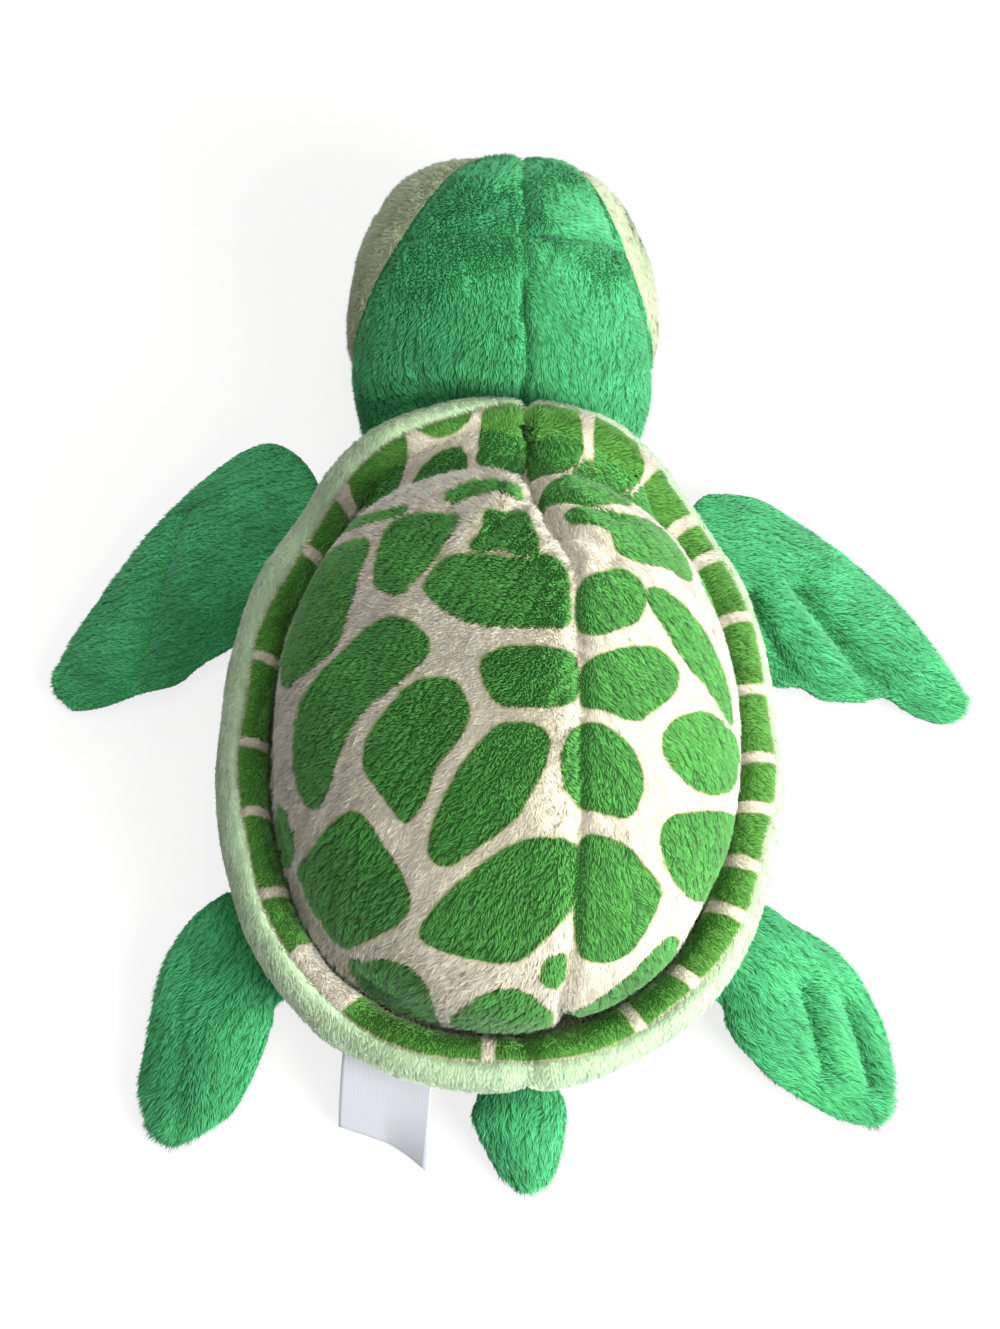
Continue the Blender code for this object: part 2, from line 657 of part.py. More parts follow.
def build_head():
    """Hood, brow, face and throat panels round the head's stuffing, with two safety eyes."""
    root = Vector((HEAD_SIDE, HEAD_ROOT_Y, HEAD_AXIS_Z))
    axis = new_axis("head_axis", root + Vector((0.0, NOD_AXIS_IN, 0.0)))
    right = Vector((1.0, 0.0, 0.0))
    front = Vector((0.0, 1.0, 0.0))
    up = Vector((0.0, 0.0, 1.0))
    seam = Vector()
    cross = Vector((0.0, HEAD_LENGTH * CROSS_SEAM_SHARE - NOD_AXIS_IN, 0.0))
    throat = Vector((0.0, 0.0, THROAT_Z - HEAD_AXIS_Z))
    brow_low = Vector((0.0, 0.0, BROW_LOW_Z - HEAD_AXIS_Z))
    muzzle = [(throat, -up), (brow_low, up), (cross, -front)]
    filling = new_piece("head_filling", head_form(CLOTH + PACKING), "fibre_filling", axis)
    head_panel("head_throat_panel", "plush_pale", [(throat, up)], axis)
    for side, hand in ((-1, "left"), (1, "right")):
        rear_corner = Vector(
            (side * HEAD_WIDTH / 2.0, HEAD_LENGTH * FACE_SEAM_REAR_SHARE - NOD_AXIS_IN, 0.0)
        )
        front_corner = Vector(
            (side * HEAD_WIDTH / 2.0 * FACE_SEAM_FRONT_SHARE, HEAD_LENGTH - NOD_AXIS_IN, 0.0)
        )
        run = front_corner - rear_corner
        sideways = Vector((side * run.y, -side * run.x, 0.0)).normalized()
        inner = [(seam, -right * side), (rear_corner, sideways)]
        hood = [(throat, -up), (cross, front)]
        head_panel("head_hood_" + hand, "plush_mint", inner + hood, axis)
        brow = [(brow_low, -up), (cross, -front)]
        head_panel("head_brow_" + hand, "plush_mint", inner + brow, axis)
        muzzle.append((rear_corner, sideways))
        face = head_panel(
            "head_face_" + hand, "plush_pale", [(throat, -up), (rear_corner, -sideways)], axis
        )
        place, outward = eye_frame(side)
        place = place + outward * SEAT
        dome = [
            (
                EYE_RADIUS * math.sin(math.pi / 2.0 * step / EYE_STEPS),
                EYE_HEIGHT * math.cos(math.pi / 2.0 * step / EYE_STEPS),
            )
            for step in range(EYE_STEPS + 1)
        ]
        shank = [
            (EYE_SHANK_RADIUS, 0.0),
            (EYE_SHANK_RADIUS, -EYE_SHANK_LENGTH),
            (0.0, -EYE_SHANK_LENGTH),
        ]
        turned("eye_" + hand, dome + shank, "black_plastic", axis, place, outward)
        bore = EYE_SHANK_RADIUS + SEAM_GAP
        low = -WASHER_DEPTH - WASHER_THICKNESS
        ring = [
            (bore, -WASHER_DEPTH),
            (WASHER_RADIUS, -WASHER_DEPTH),
            (WASHER_RADIUS, low),
            (bore, low),
            (bore, -WASHER_DEPTH),
        ]
        turned("eye_washer_" + hand, ring, "white_plastic", axis, place, outward)
        hole = new_cutter("eye_hole_" + hand, bore, EYE_SHANK_LENGTH, axis, place, outward)
        cut_with(face, hole)
        pocket_radius = WASHER_RADIUS + PACKING
        pocket = new_cutter(
            "washer_pocket_" + hand, pocket_radius, EYE_SHANK_LENGTH + SEAT, axis, place, outward
        )
        cut_with(filling, pocket)
    head_panel("head_muzzle_panel", "plush_pale", muzzle, axis)


def body_edge(y):
    """Half width of the body in plan at this distance along the turtle."""
    return BODY_WIDTH / 2.0 * rounded((y - BODY_CENTRE_Y) / (BODY_LENGTH / 2.0), BODY_PLAN_POWER)


def body_lean(y):
    """How far the body's side turns in towards the nose at this distance along the turtle."""
    reach = ROOT_RADIUS
    return math.atan2(body_edge(y - reach) - body_edge(y + reach), 2.0 * reach)


def limb_stations(rows, length, thickness, root_width, lean, heading, side):
    """Rings of a flat bag from its rounded root to its tip; x runs to the tip and y to the side."""
    up = Vector((0.0, 0.0, 1.0))
    lean = lean + heading
    root_across = Vector((-math.sin(lean), side * math.cos(lean), 0.0))
    root_out = Vector((math.cos(lean), side * math.sin(lean), 0.0))
    half_root = root_width / 2.0
    stations = [(-root_out * ROOT_RADIUS, Vector(), Vector(), Vector())]
    for turn in ROOT_TURN_SHARES:
        angle = turn * math.pi / 2.0
        centre = -root_out * (ROOT_RADIUS * math.cos(angle))
        wide = half_root - ROOT_RADIUS * (1.0 - math.sin(angle))
        high = up * (ROOT_RADIUS * math.sin(angle))
        stations.append((centre, root_across * wide, high, -high))
    stations.append((Vector(), root_across * half_root, up * ROOT_RADIUS, -up * ROOT_RADIUS))

    def local(out, ahead):
        x = out * math.cos(heading) - ahead * math.sin(heading)
        y = out * math.sin(heading) + ahead * math.cos(heading)
        return Vector((x, side * y, 0.0)) * length

    for front_out, front_ahead, rear_out, rear_ahead in rows:
        front = local(front_out, front_ahead)
        rear = local(rear_out, rear_ahead)
        centre = (front + rear) / 2.0
        along = centre.x / length
        fullness = smooth_step(along / FULL_SHARE)
        thinned = smooth_step((along - TAPER_FROM_SHARE) / (1.0 - TAPER_FROM_SHARE))
        half = ROOT_RADIUS + (thickness / 2.0 - ROOT_RADIUS) * fullness
        high = up * (half * (1.0 - TAPER_SHARE * thinned))
        stations.append((centre, (front - rear) / 2.0, high, -high))
    tip = Vector((length, 0.0, 0.0))
    centre, across, high, low = stations[-1]
    for share, close in TIP_SHARES:
        place = centre.lerp(tip, share)
        stations.append((place, across * close, high * close, low * close))
    stations.append((tip, Vector(), Vector(), Vector()))
    return stations


def build_limb(name, axis, stations, above, below):
    """Upper and lower panels that meet on the limb's edge, round its stuffing."""
    up = Vector((0.0, 0.0, 1.0))
    half_gap = up * (SEAM_GAP / 2.0)
    upper = trimmed(hollowed(lofted(stations, LIMB_SIDES), CLOTH), half_gap, -up)
    new_piece(name + "_top", upper, above, axis)
    lower = trimmed(hollowed(lofted(stations, LIMB_SIDES), CLOTH), -half_gap, up)
    new_piece(name + "_bottom", lower, below, axis)
    filling = pushed_in(lofted(stations, LIMB_SIDES), CLOTH + PACKING)
    new_piece(name + "_filling", filling, "fibre_filling", axis)


def droop_of(stations):
    """How far a limb slopes down from its root, so that its lowest ring just clears the table."""
    room = BODY_SEAM_Z - LIMB_FLOOR_GAP
    angles = []
    for centre, _, high, _ in stations:
        if centre.x > room:
            reach = math.hypot(centre.x, high.z)
            angles.append(math.asin(room / reach) - math.atan2(high.z, centre.x))
    return min(angles)


def build_flippers():
    for name, (side, root_y, length, heading) in FLIPPERS.items():
        front = name.startswith("front")
        root_lean = body_lean(root_y)
        rows = FLIPPER_SHARES[name]
        thickness = FRONT_THICKNESS if front else REAR_THICKNESS
        root_width = FRONT_ROOT_WIDTH if front else REAR_ROOT_WIDTH
        stand_off = SEAT + ROOT_RADIUS
        x = side * (body_edge(root_y) + stand_off * math.cos(root_lean))
        y = root_y + stand_off * math.sin(root_lean)
        turn = -heading if side > 0 else math.pi + heading
        stations = limb_stations(rows, length, thickness, root_width, root_lean, heading, side)
        droop = droop_of(stations)
        axis = new_axis(name + "_axis", (x, y, BODY_SEAM_Z), (0.0, droop, turn))
        build_limb(name, axis, stations, "plush_mint", "plush_mint")


def build_tail():
    shape = (TAIL_SHARES, TAIL_LENGTH, TAIL_THICKNESS, TAIL_ROOT_WIDTH)
    stations = limb_stations(*shape, 0.0, 0.0, 1)
    place = (TAIL_SIDE, BODY_REAR_Y - SEAT - ROOT_RADIUS, BODY_SEAM_Z)
    axis = new_axis("tail_axis", place, (0.0, droop_of(stations), TAIL_HEADING))
    build_limb("tail", axis, stations, "plush_mint", "plush_mint")


def build_label():
    """A satin ribbon caught in the seam under the rim; it hangs out and down to the table."""
    axis_z = underside_height(LABEL_X, LABEL_Y) - UNDERSIDE_CLOTH - LABEL_SINK
    turn = (0.0, LABEL_DROP, -math.pi / 2.0 + LABEL_TURN)
    axis = new_axis("label_axis", (LABEL_X, LABEL_Y, axis_z), turn)
    bm = bmesh.new()
    bmesh.ops.create_grid(bm, x_segments=6, y_segments=4, size=0.5)
    for vert in bm.verts:
        along = vert.co.x + 0.5
        across = vert.co.y
        bow = LABEL_TIP_SAG * math.sin(math.pi * along)
        vert.co = Vector((LABEL_LENGTH * along, LABEL_WIDTH * across, bow))
    bmesh.ops.recalc_face_normals(bm, faces=bm.faces[:])
    label = wrapped("sewn_in_label", bm, "satin_label", LABEL_THICKNESS)
    label.parent = axis
    for vert in label.data.vertices:
        at_tip = vert.co.x > LABEL_LENGTH * (0.5 + LABEL_CORNER_SHARE)
        if at_tip and abs(vert.co.y) > LABEL_WIDTH * LABEL_CORNER_SHARE:
            vert.co.x -= LABEL_CORNER


def centre_in_plan():
    """Moves the whole turtle so that the middle of its box in plan is the origin."""
    bpy.context.view_layer.update()
    graph = bpy.context.evaluated_depsgraph_get()
    corners = []
    for obj in PARTS.objects:
        if obj.type == "MESH":
            solid = obj.evaluated_get(graph)
            corners += [solid.matrix_world @ vert.co for vert in solid.data.vertices]
    for way in (0, 1):
        places = [corner[way] for corner in corners]
        TURTLE.location[way] = -(min(places) + max(places)) / 2.0


clear_scene()
PARTS = new_collection("plush_turtle")
CUTTERS = new_collection("cutters")
TURTLE = bpy.data.objects.new("turtle", None)
TURTLE.empty_display_size = BODY_WIDTH
PARTS.objects.link(TURTLE)
build_body()
build_underside()
build_rim()
build_dome()
build_head()
build_flippers()
build_tail()
build_label()
centre_in_plan()
bpy.context.view_layer.update()
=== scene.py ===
"""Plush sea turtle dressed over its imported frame: each bag is sewn panel by panel and given its pile."""

import json
import math

import bmesh
import bpy
import numpy as np
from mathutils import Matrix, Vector
from mathutils.kdtree import KDTree


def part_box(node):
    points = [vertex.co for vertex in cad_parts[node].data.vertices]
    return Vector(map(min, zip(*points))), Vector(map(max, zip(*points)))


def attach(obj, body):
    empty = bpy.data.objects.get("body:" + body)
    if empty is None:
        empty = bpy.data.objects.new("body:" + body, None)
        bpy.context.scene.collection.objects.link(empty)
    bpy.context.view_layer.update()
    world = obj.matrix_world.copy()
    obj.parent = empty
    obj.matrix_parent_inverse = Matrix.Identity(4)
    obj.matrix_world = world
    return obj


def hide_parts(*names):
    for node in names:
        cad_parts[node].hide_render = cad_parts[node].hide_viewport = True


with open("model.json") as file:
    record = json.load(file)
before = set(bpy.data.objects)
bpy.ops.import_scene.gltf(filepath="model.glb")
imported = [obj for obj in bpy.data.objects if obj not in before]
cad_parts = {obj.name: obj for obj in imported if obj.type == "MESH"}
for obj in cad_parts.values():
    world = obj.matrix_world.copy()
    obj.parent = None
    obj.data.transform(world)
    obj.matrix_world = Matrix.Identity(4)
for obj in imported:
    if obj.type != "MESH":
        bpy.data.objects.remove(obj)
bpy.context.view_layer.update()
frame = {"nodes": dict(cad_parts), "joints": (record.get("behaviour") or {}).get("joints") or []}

# Body. A flat stuffed pod of short-pile plush under the shell: a mint back panel and a pale
# belly panel, sewn together along the side and filled with polyester fibre.

BODY_SEAM_Z = 0.0085
BODY_BACK_RISE = 0.0100
BODY_NECK_RISE = 0.0070
BODY_NECK_RISE_LENGTH = 0.0300
BODY_BELLY_DROP = 0.0090
BODY_PLAN_POWER = 3.5
BODY_FULLNESS = 0.8
CLOTH_UNDER_PILE = 0.0013  # the backing lies this far under the CAD surface, so that the pile fills it
LEAST_Z = 0.00015  # pile pressed flat against the table ends here
UP = Vector((0.0, 0.0, 1.0))
RIGHT = Vector((1.0, 0.0, 0.0))

# The root colours are painted shade deep in the pile.
MINT_TIP = "69E299"
MINT_SHADED_ROOT = "17682F"
PALE_TIP = "DFEBC6"
PALE_SHADED_ROOT = "B4C296"


def linear(code):
    """An sRGB hex colour as linear RGBA."""
    parts = [int(code[i : i + 2], 16) / 255.0 for i in (0, 2, 4)]
    curved = [((c + 0.055) / 1.055) ** 2.4 if c > 0.04045 else c / 12.92 for c in parts]
    return (*curved, 1.0)


def add(tree, kind, settings=None, **links):
    """Adds a node: settings go to its properties or its sockets, links name the socket that feeds each."""
    node = tree.nodes.new(kind)
    for key, value in (settings or {}).items():
        if isinstance(key, str) and hasattr(node, key):
            setattr(node, key, value)
        else:
            node.inputs[key].default_value = value
    for key, source in links.items():
        tree.links.new(source, node.inputs[int(key[1:]) if key[1:].isdigit() else key.replace("_", " ")])
    return node


def new_material(name):
    """An empty node material with its surface shader, which carries the constant finish."""
    material = bpy.data.materials.new(name)
    material.use_nodes = True
    tree = material.node_tree
    return material, tree, tree.nodes["Principled BSDF"]


def noise(tree, size_mm, detail=2.0):
    """Cloudy noise that stays with the piece, with features of about this size."""
    place = add(tree, "ShaderNodeTexCoord").outputs["Object"]
    settings = {"Scale": 1000.0 / size_mm, "Detail": detail}
    return add(tree, "ShaderNodeTexNoise", settings, Vector=place).outputs["Fac"]


def ranged(tree, value, settings):
    """A value moved from one range to another."""
    return add(tree, "ShaderNodeMapRange", settings, Value=value).outputs["Result"]


def combined(tree, operation, first, second):
    """Two values brought together by one operation."""
    return add(tree, "ShaderNodeMath", {"operation": operation}, i0=first, i1=second).outputs[0]


def pile_shading(tree, shader, colour):
    """Finish shared by every cut pile: dull fibres with a soft sheen, and fine grain in the cloth."""
    grain = noise(tree, 0.35)
    relief = add(tree, "ShaderNodeBump", {"Strength": 0.25, "Distance": 0.0003}, Height=grain)
    tree.links.new(colour, shader.inputs["Base Color"])
    tree.links.new(ranged(tree, grain, {"To Min": 0.78, "To Max": 0.98}), shader.inputs["Roughness"])
    tree.links.new(relief.outputs["Normal"], shader.inputs["Normal"])
    shader.inputs["Specular IOR Level"].default_value = 0.25
    shader.inputs["Sheen Weight"].default_value = 0.18
    shader.inputs["Sheen Roughness"].default_value = 0.45


def drawn_on(tree, fact):
    """A value carried by every point of a plush mesh."""
    return add(tree, "ShaderNodeAttribute", {"attribute_name": fact}).outputs["Fac"]


def uneven_range(part):
    """Range from this part darker than written to a little less than that lighter."""
    return {"To Min": 1.0 - part, "To Max": 1.0 + 0.8 * part}


def pile_colour(tree, dyed, uneven, cloudy):
    """Makes a dyed colour uneven from fibre to fibre by uneven, and from patch to patch by cloudy: those
    patches are partly uneven tone and partly painted shade and sheen of pile brushed different ways.
    """
    shade = ranged(tree, drawn_on(tree, "fibre"), uneven_range(uneven))
    # Darker and lighter patches: painted shade and sheen of pile brushed different ways, with some uneven
    # tone.
    patches = {"From Min": 0.3, "From Max": 0.7, **uneven_range(cloudy)}
    cloud = ranged(tree, noise(tree, 11.0, 3.0), patches)
    both = combined(tree, "MULTIPLY", shade, cloud)
    scaled = add(tree, "ShaderNodeVectorMath", {"operation": "SCALE"}, i0=dyed, Scale=both)
    return scaled.outputs[0]


def dyed_plush(name, root, tip, cloudy):
    """Pile of one dye, with painted shade: darker where it goes down into the cloth, and paler at its tip.
    """
    material, tree, shader = new_material(name)
    ends = {"data_type": "RGBA", 6: linear(root), 7: linear(tip)}
    dyed = add(tree, "ShaderNodeMix", ends, i0=drawn_on(tree, "along")).outputs[2]
    pile_shading(tree, shader, pile_colour(tree, dyed, 0.18, cloudy))
    return material


def smooth_step(value):
    """0 up to 0, 1 from 1, and a smooth rise between."""
    value = np.clip(value, 0.0, 1.0)
    return value * value * (3.0 - 2.0 * value)


def oval_radius(angle, width, length, power):
    """Distance from the centre to the edge of a rounded plan shape."""
    across = np.abs(np.cos(angle)) / (width / 2.0)
    along = np.abs(np.sin(angle)) / (length / 2.0)
    return (across**power + along**power) ** (-1.0 / power)


def bag_faces(rings, columns):
    """Faces of a closed bag: a pole, rings of columns points, and a pole."""
    faces = [(0, 1 + c, 1 + (c + 1) % columns) for c in range(columns)]
    for r in range(rings - 1):
        low = 1 + r * columns
        for c in range(columns):
            d = (c + 1) % columns
            faces.append((low + c, low + columns + c, low + columns + d, low + d))
    last = 1 + rings * columns
    low = last - columns
    faces += [(low + c, last, low + (c + 1) % columns) for c in range(columns)]
    return faces


def sheet_faces(rows, columns):
    """Faces of an open grid of rows by columns points."""
    start = (np.arange(rows - 1)[:, None] * columns + np.arange(columns - 1)).ravel()
    return np.stack([start, start + 1, start + columns + 1, start + columns], 1).tolist()


def skin_normals(points, faces):
    """Outward direction at each point of a surface."""
    mesh = bpy.data.meshes.new("measure")
    mesh.from_pydata(points.tolist(), [], faces)
    normals = np.empty(len(points) * 3)
    mesh.vertices.foreach_get("normal", normals)
    bpy.data.meshes.remove(mesh)
    return normals.reshape(-1, 3)


def lumps(points, size, seed):
    """Uneven stuffing: a smooth random swell of about -1 to 1, with bumps of this size in metres."""
    draw = np.random.default_rng(seed)
    total = np.zeros(len(points))
    for _ in range(9):
        way = draw.normal(size=3)
        way *= draw.uniform(0.7, 1.5) * math.pi / (size * np.linalg.norm(way))
        total += np.sin(points @ way + draw.uniform(0.0, 2.0 * math.pi))
    return total / 4.0


def groove(points, line, width):
    """1 on a line drawn in plan, fading to 0 over width on both sides of it."""
    least = np.full(len(points), 1e9)
    line = np.array(line, float)
    for start, end in zip(line, line[1:]):
        run = end - start
        share = np.clip((points[:, :2] - start) @ run / (run @ run), 0.0, 1.0)
        away = points[:, :2] - start - share[:, None] * run
        least = np.minimum(least, np.hypot(away[:, 0], away[:, 1]))
    return np.exp(-((least / width) ** 2))


def cut_out(points, faces, facts, planes, bend=None):
    """The part of a surface inside each plane (point, outward). bend straightens a curved seam first."""
    mesh = bpy.data.meshes.new("cut")
    straight = points - bend(points) if bend else points
    mesh.from_pydata(straight.tolist(), [], faces)
    for name, values in facts.items():
        layer = mesh.attributes.new(name, "FLOAT", "POINT")
        layer.data.foreach_set("value", values.astype(np.float32))
    bm = bmesh.new()
    bm.from_mesh(mesh)
    for point, outward in planes:
        whole = bm.verts[:] + bm.edges[:] + bm.faces[:]
        cut = {"plane_co": point, "plane_no": outward, "clear_outer": True, "dist": 1e-7}
        bmesh.ops.bisect_plane(bm, geom=whole, **cut)
    bm.to_mesh(mesh)
    bm.free()
    kept = np.empty(len(mesh.vertices) * 3)
    mesh.vertices.foreach_get("co", kept)
    kept = kept.reshape(-1, 3)
    if bend:
        kept = kept + bend(kept)
    left = {}
    for name in facts:
        values = np.empty(len(kept), np.float32)
        mesh.attributes[name].data.foreach_get("value", values)
        left[name] = values.astype(float)
    polygons = [tuple(face.vertices) for face in mesh.polygons]
    bpy.data.meshes.remove(mesh)
    return kept, polygons, left


def scattered(points, triangles, per_mm2, draw):
    """Random places on a surface: the triangle of each and its weights on the triangle's corners."""
    a, b, c = (points[triangles[:, i]] for i in range(3))
    area = np.linalg.norm(np.cross(b - a, c - a), axis=1) / 2.0
    count = int(area.sum() * 1e6 * per_mm2)
    share = np.cumsum(area) / area.sum()
    chosen = np.searchsorted(share, (np.arange(count) + draw.uniform(0, 1, count)) / count)
    chosen = np.clip(chosen, 0, len(area) - 1)
    u, v = draw.uniform(0, 1, count), draw.uniform(0, 1, count)
    folded = u + v > 1.0
    u, v = np.where(folded, 1 - u, u), np.where(folded, 1 - v, v)
    return triangles[chosen], np.stack([1 - u - v, u, v], 1)


def carried(corners, values, step):
    """How much a value drawn on the cloth changes over a step along it: keeps a print crisp at the tips."""
    first, second = corners[:, 1] - corners[:, 0], corners[:, 2] - corners[:, 0]
    a, b, c = (first * first).sum(1), (first * second).sum(1), (second * second).sum(1)
    d, e = (first * step).sum(1), (second * step).sum(1)
    whole = np.maximum(a * c - b * b, 1e-20)
    change = (d * c - e * b) / whole * (values[:, 1] - values[:, 0])
    change += (a * e - b * d) / whole * (values[:, 2] - values[:, 0])
    return np.clip(change, -1.8, 1.8)


def unit(vectors):
    """Vectors made 1 long."""
    return vectors / np.maximum(np.linalg.norm(vectors, axis=1), 1e-12)[:, None]


def flat_map(flat, count, vertex):
    """Texture map places: the cloth laid flat on the left, a small cell for each fibre on the right."""
    low, span = flat.min(0), np.ptp(flat, axis=0).max()
    flat = (flat - low) / span * (0.48, 0.98) + 0.01
    columns = int(math.ceil(math.sqrt(count / 2.0)))
    rows = int(math.ceil(count / columns))
    cell = np.stack([np.arange(count) % columns, np.arange(count) // columns], 1)
    corner = np.array([(0.08, 0.08), (0.92, 0.08), (0.5, 0.92), (0.5, 0.36)])
    cells = (cell[:, None] + corner) / (columns, rows) * (0.49, 0.98) + (0.505, 0.01)
    return np.concatenate([flat, cells.reshape(-1, 2)])[vertex]


FIBRES_IN_TUFT = 20
TUFT_SHORTER = 0.62  # a tuft is measured this much shorter along the nap, so that it grows longer there
TUFT_SWAY = 0.20
FIBRE_SWAY = 0.14
FIBRE_HALF_WIDTH = 0.00011
FIBRE_BURIED = 0.0002  # the fibres' feet are this far inside the cloth


def plush(
    name, skin, material, nap, chart, body, length=0.0014, per_mm2=8.0, seed=1, lift=0.45, brushed=0.35,
    clump=0.25,
):
    """A panel of plush as one mesh: the cloth, and on it tapered three-sided fibres in tufts.

    skin is (points, faces, facts). nap gives the way the fibres lean at each point, brushed how far
    that way wanders over a patch in radians, clump how far the tips of a tuft draw together, and
    chart lays the cloth out flat for the texture map.
    """
    points, faces, facts = skin
    draw = np.random.default_rng(seed)
    mesh = bpy.data.meshes.new(name)
    mesh.from_pydata(points.tolist(), [], faces)
    mesh.calc_loop_triangles()
    triangles = np.empty(len(mesh.loop_triangles) * 3, np.int32)
    mesh.loop_triangles.foreach_get("vertices", triangles)
    triangles = triangles.reshape(-1, 3)
    normals = np.empty(len(points) * 3)
    mesh.vertices.foreach_get("normal", normals)
    normals = normals.reshape(-1, 3)
    corners, weights = scattered(points, triangles, per_mm2, draw)
    count = len(corners)
    root = np.einsum("nij,ni->nj", points[corners], weights)
    out = unit(np.einsum("nij,ni->nj", normals[corners], weights))
    way = nap(root)
    # Each tuft has its own lean, its own height and its own shade
    combed = way.mean(0) / np.linalg.norm(way.mean(0))
    closer = root - TUFT_SHORTER * (root @ combed)[:, None] * combed
    picked = draw.permutation(count)[: max(count // FIBRES_IN_TUFT, 1)]
    tree = KDTree(len(picked))
    for index, place in enumerate(closer[picked]):
        tree.insert(place, index)
    tree.balance()
    tuft = np.array([tree.find(place)[1] for place in closer])
    sway = draw.normal(size=(len(picked), 3)) * TUFT_SWAY
    tall = draw.uniform(0.85, 1.12, len(picked))
    shade = draw.uniform(0.0, 1.0, len(picked))
    way = unit(way - out * (way * out).sum(1)[:, None])
    turn = brushed * lumps(root, 0.013, seed + 100)[:, None]
    way = way * np.cos(turn) + np.cross(out, way) * np.sin(turn)
    way += sway[tuft] + draw.normal(size=(count, 3)) * FIBRE_SWAY
    way = unit(way - out * (way * out).sum(1)[:, None])
    rise = lift + 0.08 * draw.normal(size=count) + 0.25 * brushed * lumps(root, 0.009, seed + 200)
    size = length * tall[tuft] * draw.uniform(0.8, 1.12, count)
    if "caught" in facts:
        size *= 1.0 - 0.6 * (facts["caught"][corners] * weights).sum(1)
    tip = root + (way * np.cos(rise)[:, None] + out * np.sin(rise)[:, None]) * size[:, None]
    middle = root[picked[tuft]] - root
    tip += (middle - (middle @ combed)[:, None] * combed) * clump
    tip[:, 2] = np.maximum(tip[:, 2], np.minimum(root[:, 2], LEAST_Z))
    side = np.cross(way, out)
    half = FIBRE_HALF_WIDTH * draw.uniform(0.8, 1.25, count)[:, None]
    feet = [
        root + side * half - out * FIBRE_BURIED,
        root - side * half - out * FIBRE_BURIED,
        root + out * half * 1.3 - way * half,
    ]
    blades = np.stack([*feet, tip], 1).reshape(-1, 3)
    everything = np.concatenate([points, blades])
    first = len(points) + 4 * np.arange(count)
    ridges = ((2, 0, 3), (1, 2, 3), (0, 1, 3))
    fibres = np.concatenate([np.stack([first + i, first + j, first + k], 1) for i, j, k in ridges])
    cloth_loops = np.concatenate([np.array(face) for face in faces])
    starts = np.cumsum([0] + [len(face) for face in faces])
    mesh.clear_geometry()
    mesh.vertices.add(len(everything))
    mesh.vertices.foreach_set("co", everything.ravel())
    mesh.loops.add(len(cloth_loops) + fibres.size)
    vertex = np.concatenate([cloth_loops, fibres.ravel()])
    mesh.loops.foreach_set("vertex_index", vertex.astype(np.int32))
    mesh.polygons.add(len(faces) + len(fibres))
    begins = np.concatenate([starts[:-1], starts[-1] + 3 * np.arange(len(fibres))])
    mesh.polygons.foreach_set("loop_start", begins.astype(np.int32))
    mesh.update(calc_edges=True)
    # The cloth under the fibres takes nearly the root colour: painted shade under the pile.
    along = np.concatenate([np.full(len(points), 0.12), np.tile([0.0, 0.0, 0.05, 1.0], count)])
    lot = shade[tuft] * 0.6 + draw.uniform(0, 0.4, count)
    fibre = np.concatenate([np.full(len(points), 0.4), np.repeat(lot, 4)])
    values = {"along": along, "fibre": fibre}
    for key, fact in facts.items():
        held = (fact[corners] * weights).sum(1)
        ahead = held + carried(points[corners], fact[corners], tip - root)
        values[key] = np.concatenate([fact, np.stack([held, held, held, ahead], 1).ravel()])
    for key, value in values.items():
        layer = mesh.attributes.new(key, "FLOAT", "POINT")
        layer.data.foreach_set("value", value.astype(np.float32))
    places = flat_map(chart(points, facts), count, vertex)
    mesh.uv_layers.new(name="OFBake").uv.foreach_set("vector", places.astype(np.float32).ravel())
    soft = unit(out + draw.normal(size=(count, 3)) * 0.14 + way * 0.30)
    mesh.normals_split_custom_set_from_vertices(np.concatenate([normals, np.repeat(soft, 4, axis=0)]))
    piece = bpy.data.objects.new(name, mesh)
    mesh.materials.append(material)
    bpy.context.scene.collection.objects.link(piece)
    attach(piece, body)
    return piece


def stuffed(piece, slot, fill, *nodes):
    """Hides the solids that a stuffed panel is drawn for; the piece, its colour slot and how full it is are
    not used.
    """
    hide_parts(*nodes)


def to_tail(points):
    """Nap combed towards the tail."""
    return np.tile([0.0, -1.0, -0.15], (len(points), 1))


def seen_from_above(points, facts):
    """Chart of a flat bag's panel: its plan."""
    return points[:, :2]


mint_plush = dyed_plush("knitted_plush_cut_pile_mint", MINT_SHADED_ROOT, MINT_TIP, 0.22)
pale_plush = dyed_plush("knitted_plush_cut_pile_pale_green", PALE_SHADED_ROOT, PALE_TIP, 0.08)

low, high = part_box("body_back_panel")
body_centre = ((low.x + high.x) / 2.0, (low.y + high.y) / 2.0)
body_width, body_length = high.x - low.x, high.y - low.y


